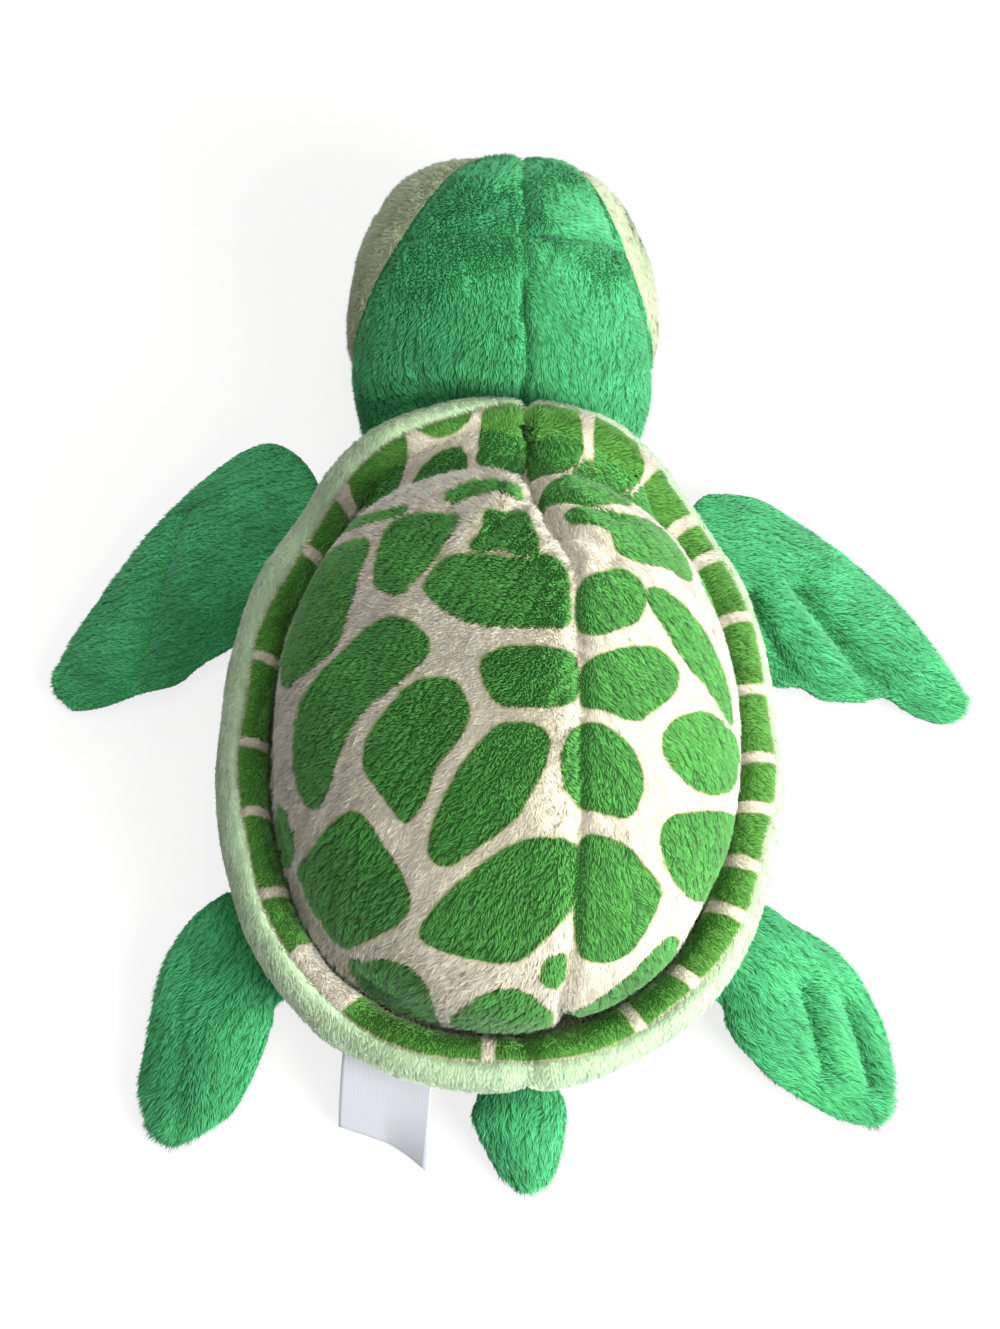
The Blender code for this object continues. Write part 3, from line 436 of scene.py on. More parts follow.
def body_skin():
    """The pod's surface: a rounded oblong in plan, raised towards the neck."""
    rings, columns = 90, 260
    polar = (np.arange(1, rings + 1) / (rings + 1) * math.pi)[:, None]
    around = (np.arange(columns) / columns * 2.0 * math.pi)[None]
    reach = np.sin(polar) * oval_radius(around, body_width, body_length, BODY_PLAN_POWER)
    x, y = reach * np.cos(around), reach * np.sin(around)
    lift = np.copysign(np.abs(np.cos(polar)) ** BODY_FULLNESS, np.cos(polar)) + 0.0 * around
    front = body_length / 2.0
    neck = smooth_step((y - front + BODY_NECK_RISE_LENGTH) / BODY_NECK_RISE_LENGTH)
    rise = np.where(lift > 0.0, BODY_BACK_RISE + BODY_NECK_RISE * neck, BODY_BELLY_DROP)
    z = BODY_SEAM_Z + rise * lift
    rows = np.stack([x + body_centre[0], y + body_centre[1], z], 2).reshape(-1, 3)
    top = (*body_centre, BODY_SEAM_Z + BODY_BACK_RISE)
    bottom = (*body_centre, BODY_SEAM_Z - BODY_BELLY_DROP)
    points = np.concatenate([[top], rows, [bottom]])
    faces = bag_faces(rings, columns)
    seam = np.exp(-(((points[:, 2] - BODY_SEAM_Z) / 0.0008) ** 2))
    out = skin_normals(points, faces)
    depth = CLOTH_UNDER_PILE + 0.0006 * seam + 0.0003 * lumps(points, 0.016, 3)
    points = points - out * depth[:, None]
    points[:, 2] = np.maximum(points[:, 2], 0.0010)
    return points, faces


points, faces = body_skin()
side_seam = Vector((0.0, 0.0, BODY_SEAM_Z))
skin = cut_out(points, faces, {}, [(side_seam, -UP)])
piece = plush("plush_body_back", skin, mint_plush, to_tail, seen_from_above, "trunk", per_mm2=2.5, seed=11)
stuffed(piece, "plush_mint", 0.7, "body_back_panel", "body_filling")
skin = cut_out(points, faces, {}, [(side_seam, UP)])
piece = plush(
    "plush_body_belly", skin, pale_plush, to_tail, seen_from_above, "trunk", per_mm2=4.0, seed=12, lift=0.4,
)
stuffed(piece, "plush_pale", 0.7, "body_belly_panel")

# Shell underside. One pale plush panel that closes the shell from below; its edge is caught in
# the seam of the rolled rim, and the body is sewn to its middle.

SHELL_PLAN_POWER = 2.25
RIM_RADIUS = 0.0058
RIM_Z = 0.0235
COLLAR_RISE = 0.0150
COLLAR_RISE_LENGTH = 0.0235
UNDERSIDE_DROP = 0.0008
UNDERSIDE_CROWN = 0.0030

low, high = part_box("shell_edging_left")
right_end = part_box("shell_edging_right")[1].x
shell_width, shell_length = right_end - low.x, high.y - low.y
shell_centre = ((right_end + low.x) / 2.0, (low.y + high.y) / 2.0)
shell_front = shell_centre[1] + shell_length / 2.0


def collar(y):
    """How far the rim is raised over the neck at this distance along the turtle."""
    start = shell_front - RIM_RADIUS - COLLAR_RISE_LENGTH
    return COLLAR_RISE * smooth_step((y - start) / COLLAR_RISE_LENGTH)


def underside_skin():
    """The panel's surface, a shallow crown inside the roll that follows its rise at the collar."""
    rings, columns = 60, 300
    width, length = shell_width - 2.0 * RIM_RADIUS, shell_length - 2.0 * RIM_RADIUS
    share = (np.arange(1, rings + 1) / rings)[:, None]
    around = (np.arange(columns) / columns * 2.0 * math.pi)[None]
    reach = share * oval_radius(around, width, length, SHELL_PLAN_POWER)
    x, y = reach * np.cos(around), reach * np.sin(around)
    out = np.minimum((x / (width / 2.0)) ** 2 + (y / (length / 2.0)) ** 2, 1.0)
    edge = RIM_Z - RIM_RADIUS - UNDERSIDE_DROP
    y = y + shell_centre[1]
    z = edge + UNDERSIDE_CROWN * (1.0 - out) + collar(y)
    rows = np.stack([x + shell_centre[0], y, z], 2).reshape(-1, 3)
    middle = (*shell_centre, edge + UNDERSIDE_CROWN + float(collar(np.array(shell_centre[1]))))
    points = np.concatenate([[middle], rows])
    points[:, 2] += 0.0003 * lumps(points, 0.014, 5)
    faces = [tuple(face) for face in bag_faces(rings, columns)[:-columns]]
    return points, [face[::-1] for face in faces], {}


piece = plush(
    "plush_shell_underside", underside_skin(), pale_plush, to_tail, seen_from_above, "trunk",
    per_mm2=3.0, seed=13, lift=0.3,
)
stuffed(piece, "plush_pale", 0.4, "shell_underside_panel")

# Rolled rim. A stuffed roll round the shell, in two halves that meet at the collar and the rear:
# a printed strip on top, green blocks on cream, and a pale mint edging sewn on outside it.

EDGING_FROM_SHARE = -0.62  # places round the roll: 0 is straight out, 0.5 on top
PRINT_EDGE = (  # where the printed strip meets the edging: plan angle in degrees, place round the roll
    (0.0, 0.25), (40.0, 0.27), (75.0, 0.31), (88.0, 0.40), (97.0, 0.54), (125.0, 0.60), (150.0, 0.52),
    (180.0, 0.49), (225.0, 0.49), (270.0, 0.43), (315.0, 0.34), (360.0, 0.25),
)
PRINT_TO_SHARE = 1.20
FRONT_SEAM_TURN = 0.085  # the two halves meet this far right of the middle, in radians round the shell
REAR_SEAM_TURN = 0.075
RIM_UNDER_PILE = 0.0011
CREAM_BARS = (  # where the printed cream bars cross the strip: plan angle in degrees, width in mm
    (96.2, 2.6), (109.8, 2.6), (122.3, 2.6), (133.6, 2.4), (160.4, 2.2), (182.2, 2.0), (198.7, 2.0),
    (217.0, 2.2), (236.5, 15.0), (268.4, 2.6), (293.3, 2.4), (304.9, 2.6), (319.5, 2.4), (329.7, 2.6),
    (342.2, 2.4), (354.0, 2.4), (11.0, 2.4), (28.8, 2.4), (43.0, 2.6), (51.0, 2.6), (61.5, 2.6),
)
COLLAR_SPAN = (61.5, 122.3)  # plan angles between which the print is drawn block by block
COLLAR_BLOCKS = (  # outlines in plan in mm
    ((-6, 34), (-5, 38), (-1, 43), (3.6, 46), (3.6, 36), (3.2, 24), (-3, 23), (-7, 26), (-6, 30)),
    ((3.6, 46), (10, 44), (14, 39), (16, 30), (12, 25), (8, 23), (3.6, 23), (3.6, 36)),
    ((18, 42), (24, 36), (28, 29), (27, 24), (22, 22), (18, 25), (17, 32)),
    ((-21, 19), (-19, 25), (-15, 30), (-9, 31), (-8, 26), (-9, 22), (-16, 19)),
    ((-12, 44), (-8, 42), (-7, 36), (-11, 33), (-17, 32), (-21, 37), (-17, 42)),
    ((-23, 37), (-20, 31), (-22, 24), (-24, 20), (-30, 20), (-34, 27), (-28, 34)),
    ((30, 32), (34, 27), (32, 22), (29, 22)),
)
# Each root colour is painted shade deep in the pile.
RIM_GREEN_LIT_TIP = "7CC05A"
RIM_GREEN_SHADED_ROOT = "2C681B"
PRINT_CREAM_TIP = "F4F0E2"
PRINT_CREAM_SHADED_ROOT = "D0C6AE"
PRINT_FRINGE = "9DB65A"
EDGING_TIP = "DAF1D0"
EDGING_SHADED_ROOT = "B0CC9F"


def printed_plush(name, green_shaded_root, green_tip):
    """Cream pile printed with green patches; scute_mm is how far inside a patch a point is, in mm."""
    material, tree, shader = new_material(name)
    # Dye creeps along the fibres, so an edge wanders by about 0.2 mm over 2 mm and is 0.5 mm soft
    creep = {"operation": "MULTIPLY_ADD", 1: 0.8, 2: -0.4}
    edge = add(tree, "ShaderNodeMath", creep, i0=noise(tree, 2.0)).outputs[0]
    moved = combined(tree, "ADD", drawn_on(tree, "scute_mm"), edge)
    soft = {"interpolation_type": "SMOOTHSTEP", "From Min": -0.25, "From Max": 0.25}
    green = ranged(tree, moved, soft)
    # Yellow dye runs a little further than the blue in the green
    beside = add(tree, "ShaderNodeMath", {"operation": "ABSOLUTE"}, i0=moved).outputs[0]
    fading = {"interpolation_type": "SMOOTHSTEP", "From Max": 0.7, "To Min": 0.6, "To Max": 0.0}
    fringe = ranged(tree, beside, fading)
    # The root colours are painted shade deep in the pile, mixed into the tips by along.
    roots = {"data_type": "RGBA", 6: linear(PRINT_CREAM_SHADED_ROOT), 7: linear(green_shaded_root)}
    tips = {"data_type": "RGBA", 6: linear(PRINT_CREAM_TIP), 7: linear(green_tip)}
    root = add(tree, "ShaderNodeMix", roots, i0=green).outputs[2]
    tip = add(tree, "ShaderNodeMix", tips, i0=green).outputs[2]
    yellowed = {"data_type": "RGBA", 7: linear(PRINT_FRINGE)}
    tip = add(tree, "ShaderNodeMix", yellowed, i0=fringe, i6=tip).outputs[2]
    dyed = add(tree, "ShaderNodeMix", {"data_type": "RGBA"}, i0=drawn_on(tree, "along"), i6=root, i7=tip)
    pile_shading(tree, shader, pile_colour(tree, dyed.outputs[2], 0.30, 0.09))
    return material


# The rim's greens are lighter than the dome's: painted light on the rim's print.
rim_plush = printed_plush("knitted_plush_printed_light_green_on_cream", RIM_GREEN_SHADED_ROOT, RIM_GREEN_LIT_TIP)
edging_plush = dyed_plush("knitted_plush_cut_pile_pale_mint", EDGING_SHADED_ROOT, EDGING_TIP, 0.06)


def rim_frame(angle):
    """Centre of the roll at a plan angle, and the roll's outward direction."""
    width, length = shell_width - 2.0 * RIM_RADIUS, shell_length - 2.0 * RIM_RADIUS

    def at(turn):
        """Middle of the roll at a plan angle."""
        reach = oval_radius(turn, width, length, SHELL_PLAN_POWER)
        x, y = reach * np.cos(turn) + shell_centre[0], reach * np.sin(turn) + shell_centre[1]
        return np.stack([x, y, RIM_Z + collar(y)], -1)

    run = at(angle + 0.01) - at(angle - 0.01)
    outward = unit(np.stack([run[:, 1], -run[:, 0], 0.0 * run[:, 0]], 1))
    return at(angle), outward


def near_front(angle, full, gone):
    """1 within full degrees of the collar's middle, 0 beyond gone."""
    off = np.degrees(np.abs((angle - math.pi / 2.0 + math.pi) % (2.0 * math.pi) - math.pi))
    return 1.0 - smooth_step((off - full) / (gone - full))


def rounded(outline):
    """An outline with its corners cut three times, which leaves it smooth."""
    ring = np.array(outline, float)
    for _ in range(3):
        following = np.roll(ring, -1, axis=0)
        ring = np.stack([0.75 * ring + 0.25 * following, 0.25 * ring + 0.75 * following], 1).reshape(-1, 2)
    return ring


def inside_outlines(x, y, outlines):
    """Distance in mm to the nearest outline, positive inside one."""
    best = np.full(len(x), -1e9)
    for outline in outlines:
        ring = rounded(outline)
        least = np.full(len(x), 1e9)
        within = np.zeros(len(x), bool)
        for (ax, ay), (bx, by) in zip(ring, np.roll(ring, -1, axis=0)):
            run = (bx - ax, by - ay)
            share = ((x - ax) * run[0] + (y - ay) * run[1]) / (run[0] ** 2 + run[1] ** 2)
            share = np.clip(share, 0.0, 1.0)
            least = np.minimum(least, np.hypot(x - ax - share * run[0], y - ay - share * run[1]))
            crosses = (ay > y) != (by > y)
            edge = ax + (y - ay) * run[0] / (run[1] if run[1] else 1e-9)
            within ^= crosses & (x < edge)
        best = np.maximum(best, np.where(within, least, -least))
    return best


def rim_print(points, angle):
    """How far inside a green block of the rim a point is, in mm: blocks at the collar, else bars."""
    degrees = np.degrees(angle) % 360.0
    reach = np.hypot(*(points[:, :2] - shell_centre).T) * 1000.0
    inside = np.full(len(points), 50.0)
    for bar, width in CREAM_BARS:
        off = np.abs((degrees - bar + 180.0) % 360.0 - 180.0)
        inside = np.minimum(inside, np.radians(off) * reach - width / 2.0)
    drawn = inside_outlines(points[:, 0] * 1000.0, points[:, 1] * 1000.0, COLLAR_BLOCKS)
    return np.where((degrees > COLLAR_SPAN[0]) & (degrees < COLLAR_SPAN[1]), drawn, inside)


def rim_skin(side, printed, across):
    """A strip of the roll's cloth, puckered where it is gathered into its seams."""
    steps = 300
    share = np.linspace(0.0, 1.0, steps)
    start = math.pi / 2.0 - FRONT_SEAM_TURN
    end = -math.pi / 2.0 + REAR_SEAM_TURN + (2.0 * math.pi if side < 0 else 0.0)
    angle = start + (end - start) * share
    edge = np.interp(np.degrees(angle) % 360.0, *np.array(PRINT_EDGE).T) + 0.02 * np.sin(angle * 11.0)
    first = edge if printed else np.full(steps, EDGING_FROM_SHARE)
    last = np.full(steps, PRINT_TO_SHARE) if printed else edge
    centre, outward = rim_frame(angle)
    upward = np.array([0.0, 0.0, 1.0])
    centre = centre + outward * 0.0005 * lumps(centre, 0.022, 7)[:, None]
    centre = centre + upward * 0.0004 * lumps(centre, 0.018, 8)[:, None]
    around = first[:, None] + (last - first)[:, None] * np.linspace(0.0, 1.0, across)
    turn = math.pi * around
    way = outward[:, None] * np.cos(turn)[..., None] + upward * np.sin(turn)[..., None]
    ends = 1.5 * np.exp(-((share * 200.0 / 1.4) ** 2)) + 0.6 * np.exp(-(((1.0 - share) * 200.0 / 2.2) ** 2))
    seam = np.exp(-(((around - edge[:, None]) * math.pi * RIM_RADIUS / 0.0009) ** 2))
    radius = RIM_RADIUS - RIM_UNDER_PILE - 0.0008 * seam - 0.0013 * ends[:, None]
    rows = centre[:, None] + way * radius[..., None]
    points = rows.reshape(-1, 3)
    points = points + way.reshape(-1, 3) * 0.0003 * lumps(points, 0.009, 9)[:, None]
    angles = np.repeat(angle, across)
    where = around.ravel()
    inside = rim_print(points, angles)
    outer_margin = (where - np.repeat(edge, across) - 0.02) * math.pi * RIM_RADIUS * 1000.0
    inner_margin = (1.02 - where) * math.pi * RIM_RADIUS * 1000.0 + 30.0 * near_front(angles, 22.0, 34.0)
    inside = np.minimum(inside, np.minimum(outer_margin, inner_margin))
    facts = {
        "scute_mm": inside,
        "run_mm": np.repeat(share * 200.0, across),
        "over_mm": where * math.pi * RIM_RADIUS * 1000.0,
    }
    faces = sheet_faces(steps, across)
    if side < 0:
        faces = [face[::-1] for face in faces]
    return points, faces, facts


def over_the_roll(points):
    """Nap combed outwards over the roll and to the tail."""
    away = points - (*shell_centre, RIM_Z)
    away[:, 2] = 0.0
    return unit(away) * 0.8 + (0.0, -0.6, 0.0)


def along_strip(points, facts):
    """Chart of a strip of the roll: over it and along it."""
    return np.stack([facts["over_mm"], facts["run_mm"]], 1)


for side, hand in ((-1, "left"), (1, "right")):
    skin = rim_skin(side, True, 24)
    name = "plush_rim_print_" + hand
    piece = plush(name, skin, rim_plush, over_the_roll, along_strip, "trunk", seed=20 + side, lift=0.6)
    stuffed(piece, "plush_print", 0.8, "shell_rim_strip_" + hand, "shell_rim_filling_" + hand)
    skin = rim_skin(side, False, 26)
    name = "plush_rim_edging_" + hand
    piece = plush(name, skin, edging_plush, to_tail, along_strip, "trunk", seed=24 + side, lift=0.35)
    stuffed(piece, "plush_pale", 0.8, "shell_edging_" + hand)

# Dome. The stuffed shell: two panels of cream plush printed with green scutes, gathered at the
# collar and joined by a deep centre seam that runs right of the middle. The foot tucks into the rim.

DOME_WIDTH = 0.0912
DOME_LENGTH = 0.1204
DOME_PLAN_POWER = 2.12
DOME_LEAN = 0.0018
DOME_BACK = 0.0020
DOME_WIDEST_Z = 0.0335
DOME_TOP_Z = 0.0630
DOME_TUCK = 0.0135
DOME_FOOT_FULLNESS = 0.12
DOME_BASE_Z = 0.0200
DOME_FOOT_IN = 1.85  # the foot stands this many rim radii inside the outline, and one at the collar
CLOTH_HALF_WIDTH = 60.0  # the dome's cloth laid flat, from its top to its widest ring, in mm
CLOTH_HALF_LENGTH = 74.0
SEAM_PATH = (  # centre seam in plan, ahead and across in metres
    (-0.096, 0.0085), (-0.0907, 0.0091), (-0.0859, 0.0109), (-0.0749, 0.0122), (-0.0576, 0.0129),
    (-0.0384, 0.0132), (-0.0062, 0.0124), (0.0086, 0.0070), (0.0212, 0.0040), (0.036, 0.0040),
)
COLLAR_GROOVE = (  # the gathered groove behind the collar: across and ahead in metres
    (-0.0354, 0.0160), (-0.0218, 0.0218), (-0.0098, 0.0232), (0.0063, 0.0243), (0.0183, 0.0224),
    (0.0282, 0.0160), (0.0356, 0.0033),
)
COLLAR_BAND_SUNK = 0.0010  # below the top of the roll, and more on the left where the roll stands clear
COLLAR_BAND_SUNK_LEFT = 0.0036
SCUTE_GROWTH = 0.45  # dye spreads this far past the drawn outline, in mm
DOME_FOLDS = (  # folds of the gathered front: plan line, width, depth (negative where it stands up)
    (((0.0035, 0.0120), (0.0005, 0.0060), (-0.0035, 0.0000)), 0.0016, 0.0013),
    (((-0.0010, 0.0130), (-0.0050, 0.0060), (-0.0110, -0.0030)), 0.0020, -0.0008),
    (((-0.0080, 0.0120), (-0.0140, 0.0040)), 0.0022, 0.0005),
    (((0.0060, 0.0140), (0.0130, 0.0110), (0.0210, 0.0080)), 0.0016, 0.0010),
    (((0.0080, 0.0090), (0.0140, 0.0065), (0.0190, 0.0010)), 0.0024, -0.0009),
    (((0.0085, 0.0040), (0.0140, 0.0015), (0.0200, -0.0040)), 0.0016, 0.0014),
    (((0.0075, 0.0060), (0.0095, 0.0035)), 0.0022, 0.0014),
    (((0.0115, -0.0010), (0.0130, -0.0040)), 0.0018, 0.0010),
)
# The dome's green root is darker than the rim's: painted shade deep in the pile.
DOME_GREEN_TIP = "6ECB62"
DOME_GREEN_SHADED_ROOT = "0C3D09"
SCUTES = (  # outlines of the printed scutes on the flat cloth, across and ahead of its middle in mm
    ((-17, 36), (-11, 33), (-6, 30), (-8, 25), (-10, 21), (-14, 18), (-16, 16), (-19, 18), (-21, 20),
     (-20, 27), (-19, 33)),
    ((-40, 58), (-36, 61), (-23, 43), (-17, 40), (-15, 38), (-17, 36), (-23, 40), (-29, 44)),
    ((-23, 34), (-22, 30), (-24, 26), (-26, 20), (-28, 16), (-30, 10), (-34, 7), (-40, 5), (-46, 5),
     (-51, 11), (-57, 27), (-54, 36), (-50, 44), (-46, 51), (-34, 42), (-26, 36)),
    ((-18, 12), (-15, 10), (-12, 5), (-14, 1), (-18, -3), (-22, -6), (-25, -9), (-27, -13), (-29, -17),
     (-30, -22), (-32, -26), (-35, -27), (-39, -24), (-42, -17), (-42, -10), (-40, -3), (-35, 3),
     (-28, 8), (-22, 12)),
    ((-11, -3), (-8, -4), (-6, -7), (-5, -9), (-6, -12), (-8, -15), (-10, -18), (-11, -23), (-13, -26),
     (-14, -27), (-16, -25), (-19, -22), (-22, -19), (-22.5, -16), (-22, -13), (-20, -10), (-18, -7),
     (-15, -3)),
    ((-8, 21), (-4, 20), (-1, 19), (2, 18), (4, 20), (6, 20), (8, 18), (8, 13), (9, 8), (5, 7), (0, 6),
     (-4, 7), (-8, 10), (-11, 14), (-12, 16), (-11, 18)),
    ((10, 17), (13, 19), (17, 22), (20, 21), (22, 18), (21, 12), (17, 9), (14, 7), (11, 8), (10, 12)),
    ((-4, 1), (-1, 2), (4, 3), (9, 3), (11, 2), (11, -2), (10, -7), (6, -8), (2, -7), (-1, -7), (-3, -4),
     (-4, -2)),
    ((12, 0), (14, 2), (19, 5), (25, 7), (29, 4), (30, 1), (28, -4), (23, -8), (21, -10), (18, -10),
     (14, -8), (11, -8)),
    ((-1, -10), (2, -10), (4, -11), (5, -13), (4, -17), (2, -21), (1, -24), (-2, -27), (-5, -30),
     (-8, -33), (-10, -32), (-10, -29), (-9, -25), (-7, -20), (-5, -16), (-3, -13)),
    ((10, -11), (13, -11), (16, -13), (19, -16), (20, -21), (19, -24), (17, -27), (13, -25), (9, -23),
     (7, -20), (7, -17), (7, -14)),
    ((32, -7), (37, -5), (44, -6), (52, -8), (54, -14), (48, -21), (38, -24), (31, -22.5), (27, -19),
     (25, -16), (26, -11)),
    ((24, -28), (31, -27.5), (46, -28), (58, -31), (62, -38), (58, -50), (52, -55), (33, -46), (28, -41),
     (25, -37), (23, -32)),
    ((2, -28), (5, -28), (8, -29), (9, -31), (9, -36), (8, -41), (5, -45), (2, -50), (-1, -51), (-5, -50),
     (-10, -49), (-13, -47), (-11, -43), (-8, -38), (-4, -33), (-1, -30)),
    ((10, -28), (12, -29), (16, -31), (20, -36), (24, -41), (23, -45), (21, -50), (19, -53), (16, -54),
     (11, -52), (10, -47), (9, -39), (9, -33)),
    ((-25, -27), (-22, -27), (-19, -30), (-15, -35), (-14, -38), (-14, -42), (-17, -46), (-23, -51),
     (-34, -61), (-40, -55), (-43, -53), (-47, -44), (-41, -40), (-33, -34), (-28, -29)),
    ((-49, -26), (-45, -29), (-43, -34), (-45, -39), (-52, -42), (-66, -46), (-72, -34), (-62, -25)),
    ((-26, -60), (-20, -55), (-16, -55), (-14, -57), (-13, -62), (-14, -74), (-16, -92), (-32, -92),
     (-36, -72), (-32, -62)),
    ((-4, -60), (0, -58), (3, -60), (6, -67), (8, -73), (9, -92), (-11, -92), (-11, -74), (-8, -67)),
    ((6, -50), (8, -50), (9, -55), (8, -60), (6, -58), (5, -56), (5, -52)),
    ((28, -53), (33, -57), (36, -62), (34, -70), (28, -80), (20, -92), (12, -92), (12, -76), (15, -70),
     (20, -62), (24, -56)),
    ((44, -54), (49, -58), (54, -66), (50, -80), (38, -84), (36, -72), (39, -62)),
    ((22, 20), (26, 21), (31, 20), (38, 16), (44, 10), (48, 2), (48, -5), (44, -4), (39, 1), (31, 6),
     (27, 12), (23, 16)),
    ((8, 32), (14, 37), (19, 38), (26, 43), (32, 43), (35, 33), (32, 28), (26, 28), (20, 25), (16, 26),
     (15, 29), (12, 30), (9, 30)),
    ((5, 41), (10, 49), (19, 73), (24, 70), (21, 45), (17, 41), (12, 37), (7, 35), (5, 36)),
    ((-3, 30), (0, 30), (2, 32), (3, 27), (4, 21), (2, 19), (-1, 21), (-4, 21), (-5, 22), (-3, 25)),
    ((-9, 38), (-7, 41), (-4, 41), (1, 41), (2, 36), (-1, 35), (-4, 36), (-7, 35), (-8, 35)),
    ((41, 56), (44, 53), (49, 45), (54, 36), (57, 28), (55, 30), (44, 30), (38, 35)),
)
dome_centre = (shell_centre[0] + DOME_LEAN, shell_centre[1] - DOME_BACK)


def seam_shift(points):
    """How far right of the middle the centre seam runs, at each point's distance along the turtle."""
    ahead, across = np.array(SEAM_PATH).T
    shift = np.zeros_like(points)
    shift[:, 0] = np.interp(points[:, 1], ahead, across)
    return shift


dome_plush = printed_plush("knitted_plush_printed_deep_green_on_cream", DOME_GREEN_SHADED_ROOT, DOME_GREEN_TIP)


def dome_skin():
    """The whole shell's surface with its seam, gathers and folds, and with its print drawn on."""
    rings, columns = 130, 330
    polar = (np.arange(1, rings + 1) / (rings + 1) * math.pi * 0.86)[:, None]
    around = (np.arange(columns) / columns * 2.0 * math.pi)[None]
    lift = np.cos(polar)
    tucked = np.maximum(1.0 - np.sin(polar) ** 3.0, 0.0) ** (1.0 / 3.0)
    z = np.where(
        lift >= 0.0,
        DOME_WIDEST_Z + (DOME_TOP_Z - DOME_WIDEST_Z) * lift,
        DOME_WIDEST_Z - DOME_TUCK * tucked,
    )
    tuck = np.where(lift >= 0.0, np.sin(polar), np.sin(polar) ** DOME_FOOT_FULLNESS)
    radius = tuck * oval_radius(around, DOME_WIDTH, DOME_LENGTH, DOME_PLAN_POWER)
    x = radius * np.cos(around) + dome_centre[0]
    y = radius * np.sin(around) + dome_centre[1]
    z = z + 0.0 * around
    # Behind the collar the cloth lies in a band from the rim to a gathered groove
    angle = np.arctan2(y - shell_centre[1], x - shell_centre[0])
    outer = oval_radius(angle, shell_width, shell_length, SHELL_PLAN_POWER)
    front = near_front(angle, 24.0, 44.0)
    beyond = (y - np.interp(x, *np.array(COLLAR_GROOVE).T)) * 900.0
    band = smooth_step((beyond + 1.5) / 4.0) * front
    ring_y = (outer - RIM_RADIUS) * np.sin(angle) + shell_centre[1]
    on_left = smooth_step((np.degrees(angle) - 92.0) / 16.0)
    sunk = COLLAR_BAND_SUNK + (COLLAR_BAND_SUNK_LEFT - COLLAR_BAND_SUNK) * on_left
    band_z = RIM_Z + collar(ring_y) + RIM_RADIUS - sunk
    fall = np.clip((polar - math.pi / 2.0) / (0.36 * math.pi), 0.0, 1.0)
    foot_rise = (band_z - DOME_WIDEST_Z) * front * (1.0 - fall) ** 2
    z = z + np.where(lift >= 0.0, (band_z - z) * band, foot_rise)
    ring = oval_radius(around, DOME_WIDTH, DOME_LENGTH, DOME_PLAN_POWER)
    ring_x = ring * np.cos(around) + dome_centre[0] - shell_centre[0]
    ring_y = ring * np.sin(around) + dome_centre[1] - shell_centre[1]
    ring_angle = np.arctan2(ring_y, ring_x)
    # The foot leans on the inner side of the roll, and at the collar it lies under the top of it
    into_rim = oval_radius(ring_angle, shell_width, shell_length, SHELL_PLAN_POWER)
    into_rim = into_rim - RIM_RADIUS * (DOME_FOOT_IN - (DOME_FOOT_IN - 1.0) * front)
    flare = front + (1.0 - front) * smooth_step((polar - math.pi / 2.0) / math.radians(22.0))
    push = 1.0 + (into_rim / np.hypot(ring_x, ring_y) - 1.0) * np.where(lift >= 0.0, band, flare)
    x = shell_centre[0] + (x - shell_centre[0]) * push
    y = shell_centre[1] + (y - shell_centre[1]) * push
    rows = np.stack([x, y, z], 2).reshape(-1, 3)
    points = np.concatenate([[(*dome_centre, DOME_TOP_Z)], rows])
    faces = bag_faces(rings, columns)[:-columns]
    turned = polar / (math.pi / 2.0)
    across = np.concatenate([[0.0], (turned * np.cos(around) * CLOTH_HALF_WIDTH).ravel()])
    ahead = np.concatenate([[0.0], (turned * np.sin(around) * CLOTH_HALF_LENGTH).ravel()])
    beyond = np.concatenate([[-50.0], beyond.ravel()])
    banded = np.concatenate([[0.0], front.ravel()])
    angle = np.concatenate([[0.0], angle.ravel()])
    out = skin_normals(points, faces)
    seam = [(x, y) for y, x in SEAM_PATH]
    to_front = smooth_step((points[:, 1] + 0.012) / 0.026)
    to_rear = smooth_step((-0.070 - points[:, 1]) / 0.020)
    to_front *= 1.0 - 0.3 * smooth_step((points[:, 1] - 0.033) / 0.008)
    crease = groove(points, seam, 0.0014) * (0.0011 + 0.0024 * to_front + 0.0008 * to_rear)
    crease += groove(points, seam, 0.0048) * (0.0006 + 0.0016 * to_front)
    crease += 0.0024 * np.exp(-((beyond / 1.2) ** 2)) * banded
    for fold, width, deep in DOME_FOLDS:
        crease += deep * groove(points, fold, width)
    depth = CLOTH_UNDER_PILE + crease + 0.0004 * lumps(points, 0.018, 21)
    points = points - out * depth[:, None]
    inside = inside_outlines(across, ahead, SCUTES) + SCUTE_GROWTH
    on_collar = np.minimum(beyond, 12.0 * (banded - 0.3))
    blocks = np.minimum(rim_print(points, angle), 1.0 + on_collar)
    inside = np.maximum(np.minimum(inside, 1.0 - on_collar), blocks)
    caught = np.maximum(groove(points, seam, 0.0011), np.exp(-((beyond / 1.0) ** 2)) * banded)
    facts = {"scute_mm": inside, "across_mm": across, "ahead_mm": ahead, "caught": caught}
    return points, faces, facts


def down_the_sides(points):
    """Nap combed to the tail and outwards from the centre seam."""
    beside = np.clip((points[:, 0] - seam_shift(points)[:, 0]) / 0.012, -1.0, 1.0)
    return np.stack([0.75 * beside, -1.0 + 0.0 * beside, -0.15 + 0.0 * beside], 1)


def laid_flat(points, facts):
    """Chart of the dome: its cloth as it was cut."""
    return np.stack([facts["across_mm"], facts["ahead_mm"]], 1)


